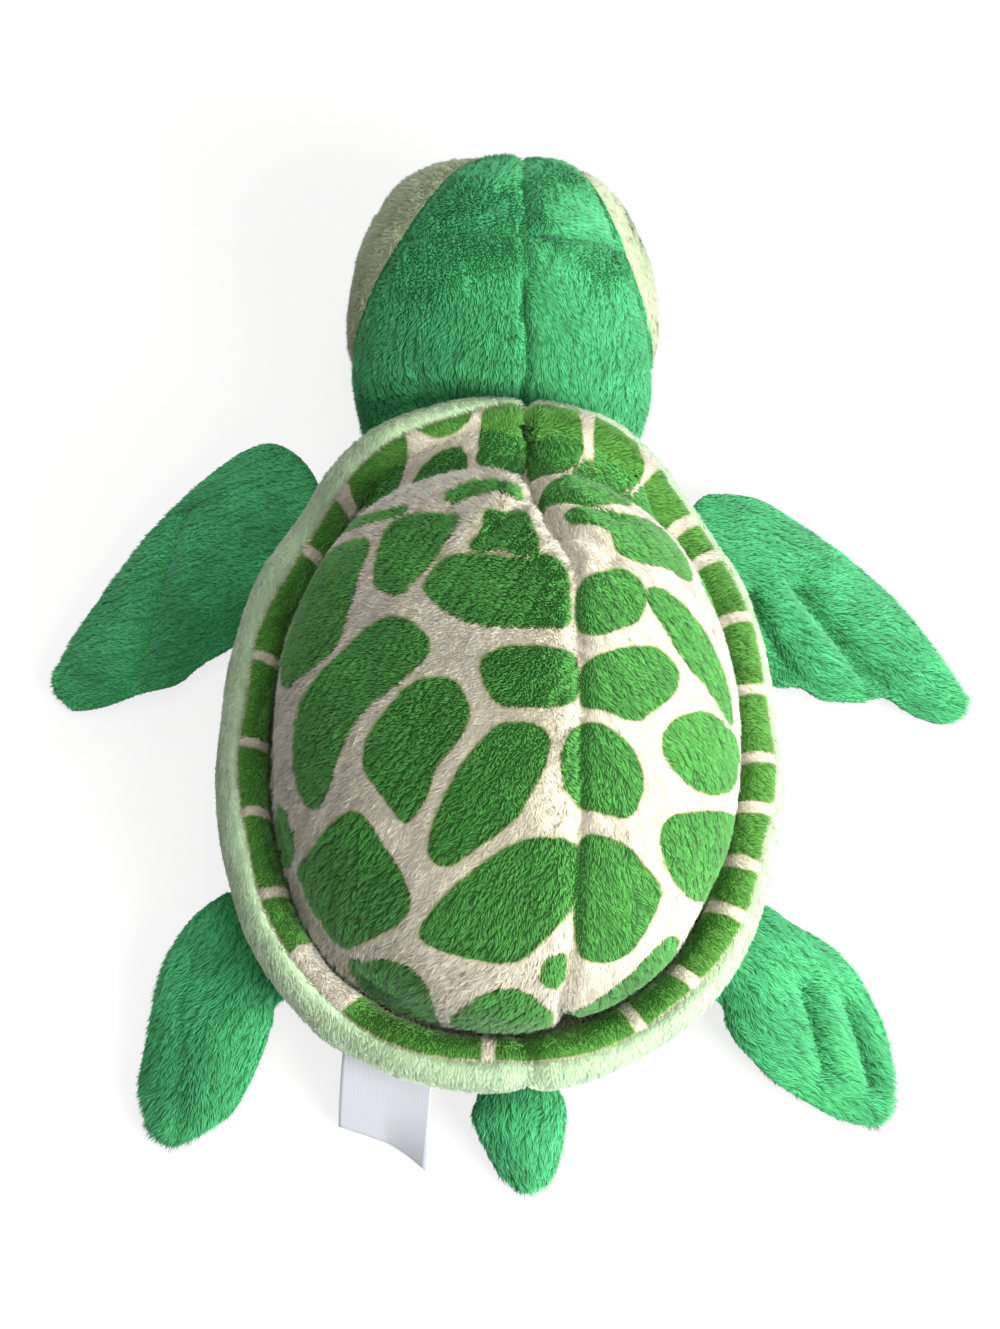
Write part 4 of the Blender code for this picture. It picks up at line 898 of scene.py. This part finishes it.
points, faces, facts = dome_skin()
base = Vector((0.0, 0.0, DOME_BASE_Z))
for side, hand in ((-1, "left"), (1, "right")):
    skin = cut_out(points, faces, facts, [(Vector(), -side * RIGHT), (base, -UP)], bend=seam_shift)
    # The left panel's pile stands up against the light, the right panel's lies with it
    lean, clump = (0.80, 0.4) if side < 0 else (0.32, 0.3)
    piece = plush(
        "plush_dome_" + hand, skin, dome_plush, down_the_sides, laid_flat, "trunk", per_mm2=7.5,
        seed=30 + side, lift=lean, clump=clump,
    )
    extra = ["shell_dome_filling"] if side < 0 else []
    stuffed(piece, "plush_print", 0.85, "shell_dome_panel_" + hand, *extra)

# Head. A stuffed ball of eight plush panels: mint hood and brow in halves on top, pale face panels
# at the sides, a pale muzzle and throat. The back of the neck is sewn to the body under the collar.

HEAD_LENGTH = 0.0768
HEAD_WIDTH = 0.0680
HEAD_HEIGHT = 0.0540
HEAD_FLOOR_GAP = 0.0004
NOD_AXIS_IN = 0.0130
SNOUT_RISE_SHARE = 0.20
CROSS_SEAM_SHARE = 0.515
CROSS_SEAM_LEAN = 0.42
THROAT_Z = 0.0165
BROW_LOW_Z = 0.0265
CENTRE_SEAM_X = 0.0042
HEAD_ROWS = (  # along, half width, crown, chin, as shares
    (0.0, 0.0, 0.0, 0.0), (0.013, 0.50, 0.13, 0.28), (0.037, 0.64, 0.22, 0.48), (0.069, 0.74, 0.32, 0.66),
    (0.110, 0.82, 0.43, 0.81), (0.165, 0.89, 0.60, 0.92), (0.240, 0.945, 0.80, 0.98),
    (0.340, 0.985, 0.92, 1.0), (0.450, 1.0, 0.99, 1.0), (0.570, 0.99, 1.0, 0.99),
    (0.690, 0.955, 0.97, 0.96), (0.800, 0.875, 0.90, 0.84), (0.895, 0.755, 0.78, 0.65),
    (0.965, 0.59, 0.61, 0.40), (1.016, 0.34, 0.40, 0.12), (1.036, 0.0, 0.23, -0.20),
)
FACE_SEAMS = {  # plan line of each seam between hood and face: rear end, front end
    -1: ((-0.0346, 0.0125), (-0.0012, 0.0640)),
    1: ((0.0338, 0.0100), (0.0135, 0.0638)),
}
HEAD_SEAM_DEPTH = 0.0011
HEAD_SEAM_WIDTH = 0.0009
HEAD_SEAM_VALLEY = 0.0004  # a wider, shallower dip on both sides of each seam
HEAD_VALLEY_WIDTH = 0.0028
EYE_CLEARING = 0.0050  # the pile is pressed down this far round an eye, and stands again a fade further
EYE_CLEARING_FADE = 0.0022
joints = {joint["name"]: joint for joint in frame["joints"]}
head_place = np.array(joints["neck_nod"]["pos_m"])


def through(rows, steps):
    """A smooth curve through rows of numbers, with the ends mirrored so that a bag closes roundly."""
    rows = np.array(rows, float)
    before, after = rows[1].copy(), rows[-2].copy()
    before[1:], after[1:] = 2 * rows[0, 1:] - rows[1, 1:], 2 * rows[-1, 1:] - rows[-2, 1:]
    held = np.concatenate([[before], rows, [after]])
    found = []
    for i in range(len(rows) - 1):
        a, b, c, d = held[i : i + 4]
        for step in range(steps):
            t = step / steps
            square, cube = 2 * a - 5 * b + 4 * c - d, 3 * b - a - 3 * c + d
            found.append(0.5 * (2 * b + (c - a) * t + square * t**2 + cube * t**3))
    return np.array(found + [rows[-1]])


def head_skin():
    """The ball's surface in the neck joint's frame, pulled in along its seams."""
    columns = 230
    rows = through(HEAD_ROWS, 8)
    crown, chin = HEAD_HEIGHT + HEAD_FLOOR_GAP - head_place[2], head_place[2] - HEAD_FLOOR_GAP
    along, wide, high, low = rows.T
    y = HEAD_LENGTH * along - NOD_AXIS_IN
    middle = (crown * high - chin * low) / 2.0
    middle[-1] = crown * SNOUT_RISE_SHARE
    half = (crown * high + chin * low) / 2.0
    around = np.arange(columns) / columns * 2.0 * math.pi
    inner = slice(1, -1)
    x = HEAD_WIDTH / 2.0 * wide[inner, None] * np.cos(around)
    z = middle[inner, None] + half[inner, None] * np.sin(around)
    body = np.stack([x, y[inner, None] + 0.0 * x, z], 2).reshape(-1, 3)
    points = np.concatenate([[(0.0, y[0], middle[0])], body, [(0.0, y[-1], middle[-1])]])
    faces = bag_faces(len(rows) - 2, columns)
    out = skin_normals(points, faces)
    top = points[:, 2] > 0.004
    cross_y = HEAD_LENGTH * CROSS_SEAM_SHARE - NOD_AXIS_IN + 0.0012
    wander = 0.0005 * np.sin(points[:, 1] * 400.0) + 0.0003 * np.sin(points[:, 1] * 1130.0)
    away = np.abs(points[:, 0] - CENTRE_SEAM_X - wander) + np.where(points[:, 2] > 0.0125, 0.0, 1.0)
    cross = np.abs(points[:, 1] + CROSS_SEAM_LEAN * (points[:, 2] - crown) - cross_y)
    cross = cross + np.where(top, 0.0, 1.0)
    for side, (rear, front) in FACE_SEAMS.items():
        run = np.array(front) - rear
        from_rear = points[:, :2] - rear
        off = side * (from_rear[:, 0] * run[1] - from_rear[:, 1] * run[0]) / np.hypot(*run)
        away = np.minimum(away, np.abs(off) * 1.2 + np.where(top, 0.0, 1.0))
        cross = cross + np.where(off > 0.0, 1.0, 0.0)
    away = np.minimum(away, cross * 1.2)
    depth = HEAD_SEAM_DEPTH * np.exp(-((away / HEAD_SEAM_WIDTH) ** 2))
    depth += HEAD_SEAM_VALLEY * np.exp(-((away / HEAD_VALLEY_WIDTH) ** 2))
    depth *= 1.0 + 0.35 * lumps(points, 0.010, 33)
    depth = CLOTH_UNDER_PILE + depth + 0.0005 * lumps(points, 0.016, 31)
    points = points - out * depth[:, None]
    caught = np.exp(-((away / 0.0010) ** 2))
    for hand in ("left", "right"):
        low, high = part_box("eye_" + hand)
        off = np.linalg.norm(points + head_place - np.array((low + high) / 2.0), axis=1)
        pressed = 1.0 - smooth_step((off - EYE_CLEARING) / EYE_CLEARING_FADE)
        caught = np.maximum(caught, 1.5 * pressed)
    return points, faces, {"caught": caught}


def unrolled(middle_turn):
    """Chart of a part of the head: round the head from middle_turn, and along it."""

    def chart(points, facts):
        """Places on the unrolled cloth."""
        turn = np.arctan2(points[:, 0], points[:, 2] - 0.013)
        turn = (turn - middle_turn + math.pi) % (2.0 * math.pi) - math.pi
        return np.stack([turn * 0.030, points[:, 1]], 1)

    return chart


def placed(skin, place, turn=None):
    """A skin moved from its joint's frame to where it belongs."""
    points, faces, facts = skin
    if turn is not None:
        points = points @ np.array(turn).T
    return points + place, faces, facts


points, faces, facts = head_skin()
crown_z = HEAD_HEIGHT + HEAD_FLOOR_GAP - head_place[2]
cross = Vector((0.0, HEAD_LENGTH * CROSS_SEAM_SHARE - NOD_AXIS_IN, crown_z))
ahead = Vector((0.0, 1.0, CROSS_SEAM_LEAN)).normalized()
throat = Vector((0.0, 0.0, THROAT_Z - head_place[2]))
brow_low = Vector((0.0, 0.0, BROW_LOW_Z - head_place[2]))
centre_seam = Vector((CENTRE_SEAM_X, 0.0, 0.0))
face_planes = {}
for side, (rear, front) in FACE_SEAMS.items():
    run = Vector(front) - Vector(rear)
    face_planes[side] = (Vector((*rear, 0.0)), Vector((side * run.y, -side * run.x, 0.0)).normalized())
head_parts = {}
for side, hand in ((-1, "left"), (1, "right")):
    rear, sideways = face_planes[side]
    inner = [(centre_seam, -side * RIGHT), (rear, sideways)]
    head_parts["hood_" + hand] = (inner + [(throat, -UP), (cross, ahead)], "mint", 0.0)
    head_parts["brow_" + hand] = (inner + [(brow_low, -UP), (cross, -ahead)], "mint", 0.0)
    turn = side * math.pi / 2.0
    head_parts["face_" + hand] = ([(throat, -UP), (rear, -sideways)], "pale", turn)
both = [face_planes[-1], face_planes[1]]
head_parts["muzzle_panel"] = ([(throat, -UP), (brow_low, UP), (cross, -ahead), *both], "pale", 0.0)
head_parts["throat_panel"] = ([(throat, UP)], "pale", math.pi)
cloths = {"mint": (mint_plush, "plush_mint"), "pale": (pale_plush, "plush_pale")}
for number, (part, (planes, cloth, turn)) in enumerate(head_parts.items()):
    skin = placed(cut_out(points, faces, facts, planes), head_place)
    material, slot = cloths[cloth]
    lean = 0.40 if "right" in part else 0.80
    piece = plush(
        "plush_head_" + part, skin, material, to_tail, unrolled(turn), "head", length=0.0017,
        seed=40 + number, lift=lean, brushed=0.8, clump=0.35,
    )
    extra = ["head_filling"] if part == "hood_left" else []
    stuffed(piece, slot, 0.8, "head_" + part, *extra)

# Eyes. Glossy black safety eyes of moulded plastic, pushed through the face panels and locked
# by white washers inside the head.

EYE_RADIUS = 0.0043
EYE_HEIGHT = 0.0024
EYE_BACK = 0.0009  # the eye's flat back rises this little
EYE_SUNK = 0.0002
EYE_AHEAD = math.radians(38.0)  # the eyes look this far ahead of sideways
EYE_BLACK = "0B0B0C"
WASHER_WHITE = "DEDCD4"


def moulded(name, code, roughness, coat):
    """Moulded plastic: one colour through, with the faint unevenness of a polished or a plain mould."""
    material, tree, shader = new_material(name)
    rough = ranged(tree, noise(tree, 1.5), {"To Min": roughness, "To Max": roughness + 0.08})
    tree.links.new(rough, shader.inputs["Roughness"])
    shader.inputs["Base Color"].default_value = linear(code)
    shader.inputs["IOR"].default_value = 1.49
    shader.inputs["Coat Weight"].default_value = coat
    return material


eye_plastic = moulded("acrylic_moulded_polished_black", EYE_BLACK, 0.06, 0.5)
washer_plastic = moulded("polypropylene_moulded_white", WASHER_WHITE, 0.45, 0.0)
for hand in ("left", "right"):
    node = frame["nodes"]["eye_" + hand]
    place = np.array([vert.co for vert in node.data.vertices])
    side = -1.0 if hand == "left" else 1.0
    outward = Vector((side * math.cos(EYE_AHEAD), math.sin(EYE_AHEAD), 0.10)).normalized()
    tipmost = place[np.argmax(place @ np.array(outward))]
    bm = bmesh.new()
    bmesh.ops.create_uvsphere(bm, u_segments=48, v_segments=24, radius=1.0)
    for vert in bm.verts:
        flat = EYE_HEIGHT if vert.co.z > 0.0 else EYE_BACK
        vert.co = Vector((vert.co.x * EYE_RADIUS, vert.co.y * EYE_RADIUS, vert.co.z * flat))
    mesh = bpy.data.meshes.new("safety_eye_" + hand)
    bm.to_mesh(mesh)
    bm.free()
    mesh.shade_smooth()
    mesh.materials.append(eye_plastic)
    piece = bpy.data.objects.new("safety_eye_" + hand, mesh)
    bpy.context.scene.collection.objects.link(piece)
    piece.rotation_euler = outward.to_track_quat("Z", "Y").to_euler()
    piece.location = Vector(tipmost) - outward * (EYE_HEIGHT - EYE_SUNK)
    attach(piece, "head")
    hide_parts("eye_" + hand)
    washer = frame["nodes"]["eye_washer_" + hand]
    washer.data.materials.clear()
    washer.data.materials.append(washer_plastic)

# Flippers and tail. Flat stuffed bags of two mint panels each, sewn to the body along a rounded
# root; stitched grooves mark the toes, and the stuffing thins out towards the tips.

LIMB_ROOT_RADIUS = 0.0040
LIMB_FULL_SHARE = 0.22
LIMB_TAPER_SHARE = 0.42
LIMB_TAPER_FROM_SHARE = 0.35
LIMBS = {  # side, length, thickness, root width, heading below sideways, both edges (out, ahead) in shares
    "front_flipper_left": (-1, 0.0566, 0.0096, 0.0330, 24.5, (
        (-0.08, 0.41, 0.17, -0.28), (0.01, 0.54, 0.26, -0.33), (0.13, 0.60, 0.34, -0.38),
        (0.26, 0.55, 0.42, -0.45), (0.41, 0.42, 0.53, -0.48), (0.56, 0.25, 0.64, -0.52),
        (0.70, 0.04, 0.74, -0.54), (0.83, -0.19, 0.82, -0.54), (0.89, -0.33, 0.87, -0.49))),
    "front_flipper_right": (1, 0.0608, 0.0096, 0.0330, 25.8, (
        (-0.05, 0.31, 0.14, -0.32), (0.01, 0.37, 0.20, -0.39), (0.11, 0.38, 0.28, -0.43),
        (0.22, 0.36, 0.37, -0.45), (0.35, 0.27, 0.47, -0.45), (0.49, 0.16, 0.57, -0.46),
        (0.62, 0.04, 0.66, -0.48), (0.75, -0.12, 0.74, -0.51), (0.84, -0.27, 0.81, -0.52),
        (0.89, -0.38, 0.87, -0.49))),
    "rear_flipper_left": (-1, 0.0419, 0.0094, 0.0230, 61.5, (
        (0.19, 0.31, -0.05, -0.35), (0.32, 0.23, -0.03, -0.42), (0.42, 0.11, -0.01, -0.49),
        (0.50, -0.05, 0.02, -0.57), (0.54, -0.23, 0.06, -0.66), (0.57, -0.43, 0.12, -0.76),
        (0.59, -0.62, 0.23, -0.84), (0.55, -0.76, 0.35, -0.90))),
    "rear_flipper_right": (1, 0.0439, 0.0094, 0.0230, 47.6, (
        (0.18, 0.23, -0.04, -0.34), (0.30, 0.15, 0.00, -0.42), (0.42, 0.08, 0.08, -0.51),
        (0.53, -0.01, 0.16, -0.59), (0.62, -0.14, 0.27, -0.66), (0.69, -0.30, 0.39, -0.73),
        (0.72, -0.48, 0.50, -0.77), (0.71, -0.64, 0.59, -0.78))),
    "tail": (1, 0.0188, 0.0088, 0.0170, 0.0, (
        (0.20, 0.51, 0.20, -0.52), (0.50, 0.46, 0.50, -0.43), (0.80, 0.36, 0.80, -0.29),
        (0.93, 0.24, 0.93, -0.15))),
}
LIMB_TURNS = {  # droop and heading of each limb's own frame, in degrees
    "front_flipper_left": (5.55, 204.5),
    "front_flipper_right": (5.12, -25.8),
    "rear_flipper_left": (7.78, 241.5),
    "rear_flipper_right": (7.31, -47.6),
    "tail": (19.56, -86.0),
}
TOE_GROOVES = {  # stitched lines in plan, in metres
    "front_flipper_left": (
        ((-0.0704, 0.0345), (-0.0724, 0.0261), (-0.0738, 0.0151), (-0.0760, 0.0034), (-0.0779, -0.0056),
         (-0.0797, -0.0105)),
    ),
    "front_flipper_right": (
        ((0.0611, 0.0160), (0.0632, 0.0125), (0.0660, 0.0084), (0.0687, 0.0046), (0.0716, 0.0006),
         (0.0764, -0.0062), (0.0779, -0.0102), (0.0789, -0.0133)),
        ((0.0505, 0.0133), (0.0527, 0.0073), (0.0550, 0.0012), (0.0572, -0.0039), (0.0598, -0.0074),
         (0.0609, -0.0109)),
    ),
    "rear_flipper_left": (
        ((-0.0605, -0.0652), (-0.0626, -0.0775), (-0.0626, -0.0914), (-0.0625, -0.1010)),
    ),
    "rear_flipper_right": (
        ((0.0565, -0.0734), (0.0575, -0.0782), (0.0585, -0.0840), (0.0596, -0.0892)),
        ((0.0653, -0.0749), (0.0666, -0.0798), (0.0678, -0.0855), (0.0690, -0.0908)),
    ),
    "tail": (),
}
TOE_DEPTHS = {
    "front_flipper_left": 0.0014, "front_flipper_right": 0.0032, "rear_flipper_left": 0.0003,
    "rear_flipper_right": 0.0015,
}
TOE_NOTCHES = {  # how far the edge is drawn in where a groove ends
    "front_flipper_left": 0.0006, "front_flipper_right": 0.0036, "rear_flipper_left": 0.0,
    "rear_flipper_right": 0.0,
}
TOE_GROOVE_WIDTH = 0.0017
TOE_VALLEY_WIDTH = 0.0042  # the stuffing gives way over this width, by this share of the groove's depth
TOE_VALLEY_SHARE = 0.35
TOE_NOTCH_WIDTH = 0.0030
LIMB_UNDER_PILE = 0.0011
LIMB_EDGE_PULL = 0.0004
LIMB_PILE = {  # length of the pile, longer on the rear limbs
    "front_flipper_left": 0.0015, "front_flipper_right": 0.0017, "rear_flipper_left": 0.0021,
    "rear_flipper_right": 0.0021, "tail": 0.0021,
}


def turned_by(droop, heading):
    """Rotation of a limb's or the label's own frame: drooped to the table, then turned to its heading."""
    down, level = math.sin(droop), math.cos(droop)
    ahead, sideways = math.sin(heading), math.cos(heading)
    first = (sideways * level, -ahead, sideways * down)
    return np.array((first, (ahead * level, sideways, ahead * down), (-down, 0.0, level)))


def limb_skin(name, axis):
    """The bag's surface in its own frame, from its rounded root to its tip."""
    side, length, thickness, root_width, heading, rows = LIMBS[name]
    heading = math.radians(heading)
    turn = math.radians(LIMB_TURNS[name][1])
    # The flapping axis, seen in the limb's own frame, gives the way its root runs
    sine, cosine = math.sin(turn), math.cos(turn)
    across = np.array((axis[0] * cosine + axis[1] * sine, -axis[0] * sine + axis[1] * cosine))
    across = across / np.linalg.norm(across)
    if across[1] * side < 0:
        across = -across
    out = np.array((abs(across[1]), -across[0] * np.sign(across[1])))
    radius, half_root = LIMB_ROOT_RADIUS, root_width / 2.0
    stations = [(*(-out * radius), 0.0, 0.0, 0.0)]
    for share in (0.22, 0.55):
        angle = share * math.pi / 2.0
        wide = half_root - radius * (1.0 - math.sin(angle))
        place = -out * radius * math.cos(angle)
        stations.append((*place, *(across * wide), radius * math.sin(angle)))
    stations.append((0.0, 0.0, *(across * half_root), radius))
    for front_out, front_ahead, rear_out, rear_ahead in rows:
        ends = []
        for reach, ahead in ((front_out, front_ahead), (rear_out, rear_ahead)):
            x = reach * math.cos(heading) - ahead * math.sin(heading)
            y = reach * math.sin(heading) + ahead * math.cos(heading)
            ends.append(np.array((x, side * y)) * length)
        centre, wide = (ends[0] + ends[1]) / 2.0, (ends[0] - ends[1]) / 2.0
        share = centre[0] / length
        full = smooth_step(share / LIMB_FULL_SHARE)
        thin = smooth_step((share - LIMB_TAPER_FROM_SHARE) / (1.0 - LIMB_TAPER_FROM_SHARE))
        half = radius + (thickness / 2.0 - radius) * full
        stations.append((*centre, *wide, half * (1.0 - LIMB_TAPER_SHARE * thin)))
    cx, cy, wx, wy, high = stations[-1]
    for share, close in ((0.62, 0.74), (0.90, 0.40)):
        place = (cx + (length - cx) * share, cy * (1.0 - share))
        stations.append((*place, wx * close, wy * close, high * close))
    stations.append((length, 0.0, 0.0, 0.0, 0.0))
    stations = np.array(stations)
    stations = np.concatenate([np.arange(len(stations))[:, None], stations], 1)
    curve = through(stations, 7)[:, 1:]
    columns = 130
    around = np.arange(columns) / columns * 2.0 * math.pi
    wide, lift = np.cos(around), np.sin(around)
    # A sewn bag's section is a lens, a little keener at its edges than an oval
    lift = lift * (0.88 + 0.12 * np.abs(lift))
    inner = curve[1:-1]
    x = inner[:, 0:1] + inner[:, 2:3] * wide
    y = inner[:, 1:2] + inner[:, 3:4] * wide
    z = inner[:, 4:5] * lift
    first, last = [(*curve[0, :2], 0.0)], [(*curve[-1, :2], 0.0)]
    points = np.concatenate([first, np.stack([x, y, z], 2).reshape(-1, 3), last])
    faces = bag_faces(len(inner), columns)
    if side > 0:
        faces = [face[::-1] for face in faces]
    return points, faces


def limb_nap(outward):
    """Nap combed from a limb's root to its tip."""

    def nap(points):
        """The same way at every point."""
        return np.tile([*outward, 0.0], (len(points), 1))

    return nap


for number, name in enumerate(LIMBS):
    joint = joints[name + "_flap"]
    place = np.array(joint["pos_m"])
    turned = turned_by(*(math.radians(value) for value in LIMB_TURNS[name]))
    points, faces = limb_skin(name, joint["axis"])
    out = skin_normals(points, faces)
    in_place = points @ turned.T + place
    depth = LIMB_UNDER_PILE + LIMB_EDGE_PULL * np.exp(-((points[:, 2] / 0.0006) ** 2))
    depth = depth + 0.0003 * lumps(in_place, 0.013, 60 + number)
    in_groove = np.zeros(len(points))
    drawn_in = np.zeros(len(points))
    for line in TOE_GROOVES[name]:
        valley = TOE_VALLEY_SHARE * groove(in_place, line, TOE_VALLEY_WIDTH)
        sunk = TOE_DEPTHS[name] * (groove(in_place, line, TOE_GROOVE_WIDTH) + valley)
        depth += sunk * smooth_step(np.abs(points[:, 2]) / 0.0015)
        in_groove = np.maximum(in_groove, groove(in_place, line, 0.0009))
        # Each groove ends in a notch of the edge, between two toes
        notch = groove(in_place, line[-2:], TOE_NOTCH_WIDTH) * np.exp(-((points[:, 2] / 0.0030) ** 2))
        drawn_in += TOE_NOTCHES[name] * notch
    depth = np.minimum(depth, np.maximum(np.abs(points[:, 2]) - 0.0002, 0.0009))
    points[:, :2] -= out[:, :2] * drawn_in[:, None]
    points = points - out * depth[:, None]
    caught = np.maximum(np.exp(-((points[:, 2] / 0.0005) ** 2)), in_groove)
    outward = turned @ (1.0, 0.0, 0.0)
    for half, part in ((1, "top"), (-1, "bottom")):
        skin = placed(cut_out(points, faces, {"caught": caught}, [(Vector(), -half * UP)]), place, turned)
        dense, lean = (8.0, 0.45) if half > 0 else (4.0, 0.3)
        piece = plush(
            f"plush_{name}_{part}", skin, mint_plush, limb_nap(outward[:2]), seen_from_above, name,
            length=LIMB_PILE[name], per_mm2=dense, seed=70 + 2 * number + (half > 0), lift=lean,
            brushed=0.5, clump=0.3,
        )
        extra = [name + "_filling"] if half > 0 else []
        stuffed(piece, "plush_mint", 0.6, f"{name}_{part}", *extra)

# Sewn-in label. A short length of white satin ribbon, left bare, its upper edge caught in the
# seam under the rim; it hangs out over the table with a slight curl.

LABEL_WIDTH = 0.0175
LABEL_LENGTH = 0.0195
LABEL_SLANT = 0.22  # its free end is cut on the slant by this share of its width
LABEL_SWELL = 0.0010
LABEL_CORNER_CURL = 0.0168
LABEL_SAG = 0.0008
LABEL_THICKNESS = 0.00035
LABEL_DROOP = math.radians(43.0)
LABEL_HEADING = math.radians(-96.0)
# The white satin is drawn grey: partly its printed text, which is left off, partly painted shade.
SATIN_TEXT_AND_SHADE_GREY = "AEB0B8"


def satin_ribbon(name):
    """Woven polyester satin: long floats that shine across the ribbon, with a fine rib along it."""
    material, tree, shader = new_material(name)
    place = add(tree, "ShaderNodeTexCoord").outputs["UV"]
    # Threads are 0.12 mm apart, drawn 0.3 mm apart so that they show
    waves = {"Scale": 9.0, "Distortion": 0.4, "Detail": 2.0}
    rib = add(tree, "ShaderNodeTexWave", waves, Vector=place).outputs["Fac"]
    relief = add(tree, "ShaderNodeBump", {"Strength": 0.1, "Distance": 0.0001}, Height=rib)
    tree.links.new(ranged(tree, rib, {"To Min": 0.32, "To Max": 0.5}), shader.inputs["Roughness"])
    tree.links.new(relief.outputs["Normal"], shader.inputs["Normal"])
    shader.inputs["Base Color"].default_value = linear(SATIN_TEXT_AND_SHADE_GREY)
    shader.inputs["Sheen Weight"].default_value = 0.2
    return material


label_joint = joints["label_fold"]
across, along = np.meshgrid(np.linspace(-0.5, 0.5, 25), np.linspace(0.0, 1.0, 29), indexing="ij")
x = LABEL_LENGTH * along * (1.0 + LABEL_SLANT * across)
y = LABEL_WIDTH * across
curl = LABEL_CORNER_CURL * along**3 * np.clip(across, 0.0, 1.0) ** 1.5
z = LABEL_SWELL * np.sin(math.pi * along) + curl - LABEL_SAG * along**2
turned = turned_by(LABEL_DROOP, LABEL_HEADING)
points = np.stack([x, y, z], 2).reshape(-1, 3) @ turned.T + np.array(label_joint["pos_m"])
points[:, 2] = np.maximum(points[:, 2], 0.0006)
mesh = bpy.data.meshes.new("satin_label")
mesh.from_pydata(points.tolist(), [], sheet_faces(25, 29))
mesh.shade_smooth()
weave = mesh.uv_layers.new(name="UVMap")
flat = np.stack([across.ravel(), along.ravel()], 1)
loops = np.empty(len(mesh.loops), np.int32)
mesh.loops.foreach_get("vertex_index", loops)
weave.uv.foreach_set("vector", flat[loops].astype(np.float32).ravel())
mesh.materials.append(satin_ribbon("polyester_satin_woven_white"))
piece = bpy.data.objects.new("satin_label", mesh)
bpy.context.scene.collection.objects.link(piece)
solid = piece.modifiers.new("ribbon", "SOLIDIFY")
solid.thickness = LABEL_THICKNESS
solid.offset = 0.0
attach(piece, "label")
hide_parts("sewn_in_label")

# Studio. A pale table under the turtle, a large soft lamp to the right, weaker ones elsewhere,
# and the camera above and behind the tail.

FLOOR_WHITE = "F4F4F2"
CAMERA_PLACE = (-0.001735, -0.2222, 0.4223)
CAMERA_TILT = math.radians(28.0)
CAMERA_LENS = 60.83
SKY_LIGHT = 0.31  # what the world gives the turtle; where it is seen it is white


def seen(tree):
    """1 where the camera sees a surface, itself or in a gloss, and 0 where only its light arrives."""
    path = add(tree, "ShaderNodeLightPath").outputs
    total = path["Is Camera Ray"]
    for ray in ("Is Glossy Ray", "Is Transmission Ray"):
        total = combined(tree, "MAXIMUM", total, path[ray])
    return total


def table_top(name):
    """Matt white board, kept white where the camera sees it and shaded only under the turtle."""
    material, tree, shader = new_material(name)
    rough = ranged(tree, noise(tree, 1.25), {"To Min": 0.85, "To Max": 0.95})
    tree.links.new(rough, shader.inputs["Roughness"])
    shader.inputs["Base Color"].default_value = linear(FLOOR_WHITE)
    shader.inputs["Specular IOR Level"].default_value = 0.1
    glow = add(tree, "ShaderNodeEmission", {"Color": (1.0, 1.0, 1.0, 1.0), "Strength": 1.0})
    # The shade under the turtle fades out over the table from 0.25 m to 0.6 m away from it
    place = add(tree, "ShaderNodeTexCoord").outputs["Object"]
    away = add(tree, "ShaderNodeVectorMath", {"operation": "LENGTH"}, i0=place).outputs["Value"]
    fading = {"interpolation_type": "SMOOTHSTEP", "From Min": 0.25, "From Max": 0.6, "To Min": 0.80}
    share = combined(tree, "MULTIPLY", seen(tree), ranged(tree, away, fading))
    mixed = add(tree, "ShaderNodeMixShader", i0=share, i1=shader.outputs[0], i2=glow.outputs[0])
    tree.links.new(mixed.outputs[0], tree.nodes["Material Output"].inputs["Surface"])
    return material


TABLE_HALF = 3.0
mesh = bpy.data.meshes.new("table")
corners = [(x * TABLE_HALF, y * TABLE_HALF, 0.0) for x, y in ((-1, -1), (1, -1), (1, 1), (-1, 1))]
mesh.from_pydata(corners, [], [(0, 1, 2, 3)])
mesh.materials.append(table_top("board_painted_matt_white"))
table = bpy.data.objects.new("table", mesh)
bpy.context.scene.collection.objects.link(table)


def soft_lamp(name, place, size, watts):
    """A square diffuse lamp that points at the turtle."""
    data = bpy.data.lights.new(name, "AREA")
    data.size = size
    data.energy = watts
    lamp = bpy.data.objects.new(name, data)
    lamp.location = place
    lamp.rotation_euler = (Vector((0.0, 0.0, 0.02)) - Vector(place)).to_track_quat("-Z", "Y").to_euler()
    bpy.context.scene.collection.objects.link(lamp)


soft_lamp("window", (0.66, -0.62, 0.58), 0.50, 17.5)
soft_lamp("front", (0.0, 0.95, 0.35), 0.50, 3.0)
soft_lamp("ceiling", (0.10, -0.15, 1.30), 0.9, 6.5)
world = bpy.data.worlds.new("studio")
world.use_nodes = True
sky = world.node_tree.nodes["Background"]
sky.inputs["Color"].default_value = (1.0, 1.0, 1.0, 1.0)
white = {"operation": "MULTIPLY_ADD", 1: 1.0 - SKY_LIGHT, 2: SKY_LIGHT}
strength = add(world.node_tree, "ShaderNodeMath", white, i0=seen(world.node_tree))
world.node_tree.links.new(strength.outputs[0], sky.inputs["Strength"])
bpy.context.scene.world = world

camera_data = bpy.data.cameras.new("camera")
camera_data.lens = CAMERA_LENS
camera_data.sensor_width = 36.0
camera_data.clip_start = 0.01
camera = bpy.data.objects.new("camera", camera_data)
camera.location = CAMERA_PLACE
camera.rotation_euler = (CAMERA_TILT, 0.0, 0.0)
bpy.context.scene.collection.objects.link(camera)
bpy.context.scene.camera = camera
bpy.context.scene.view_settings.view_transform = "Standard"
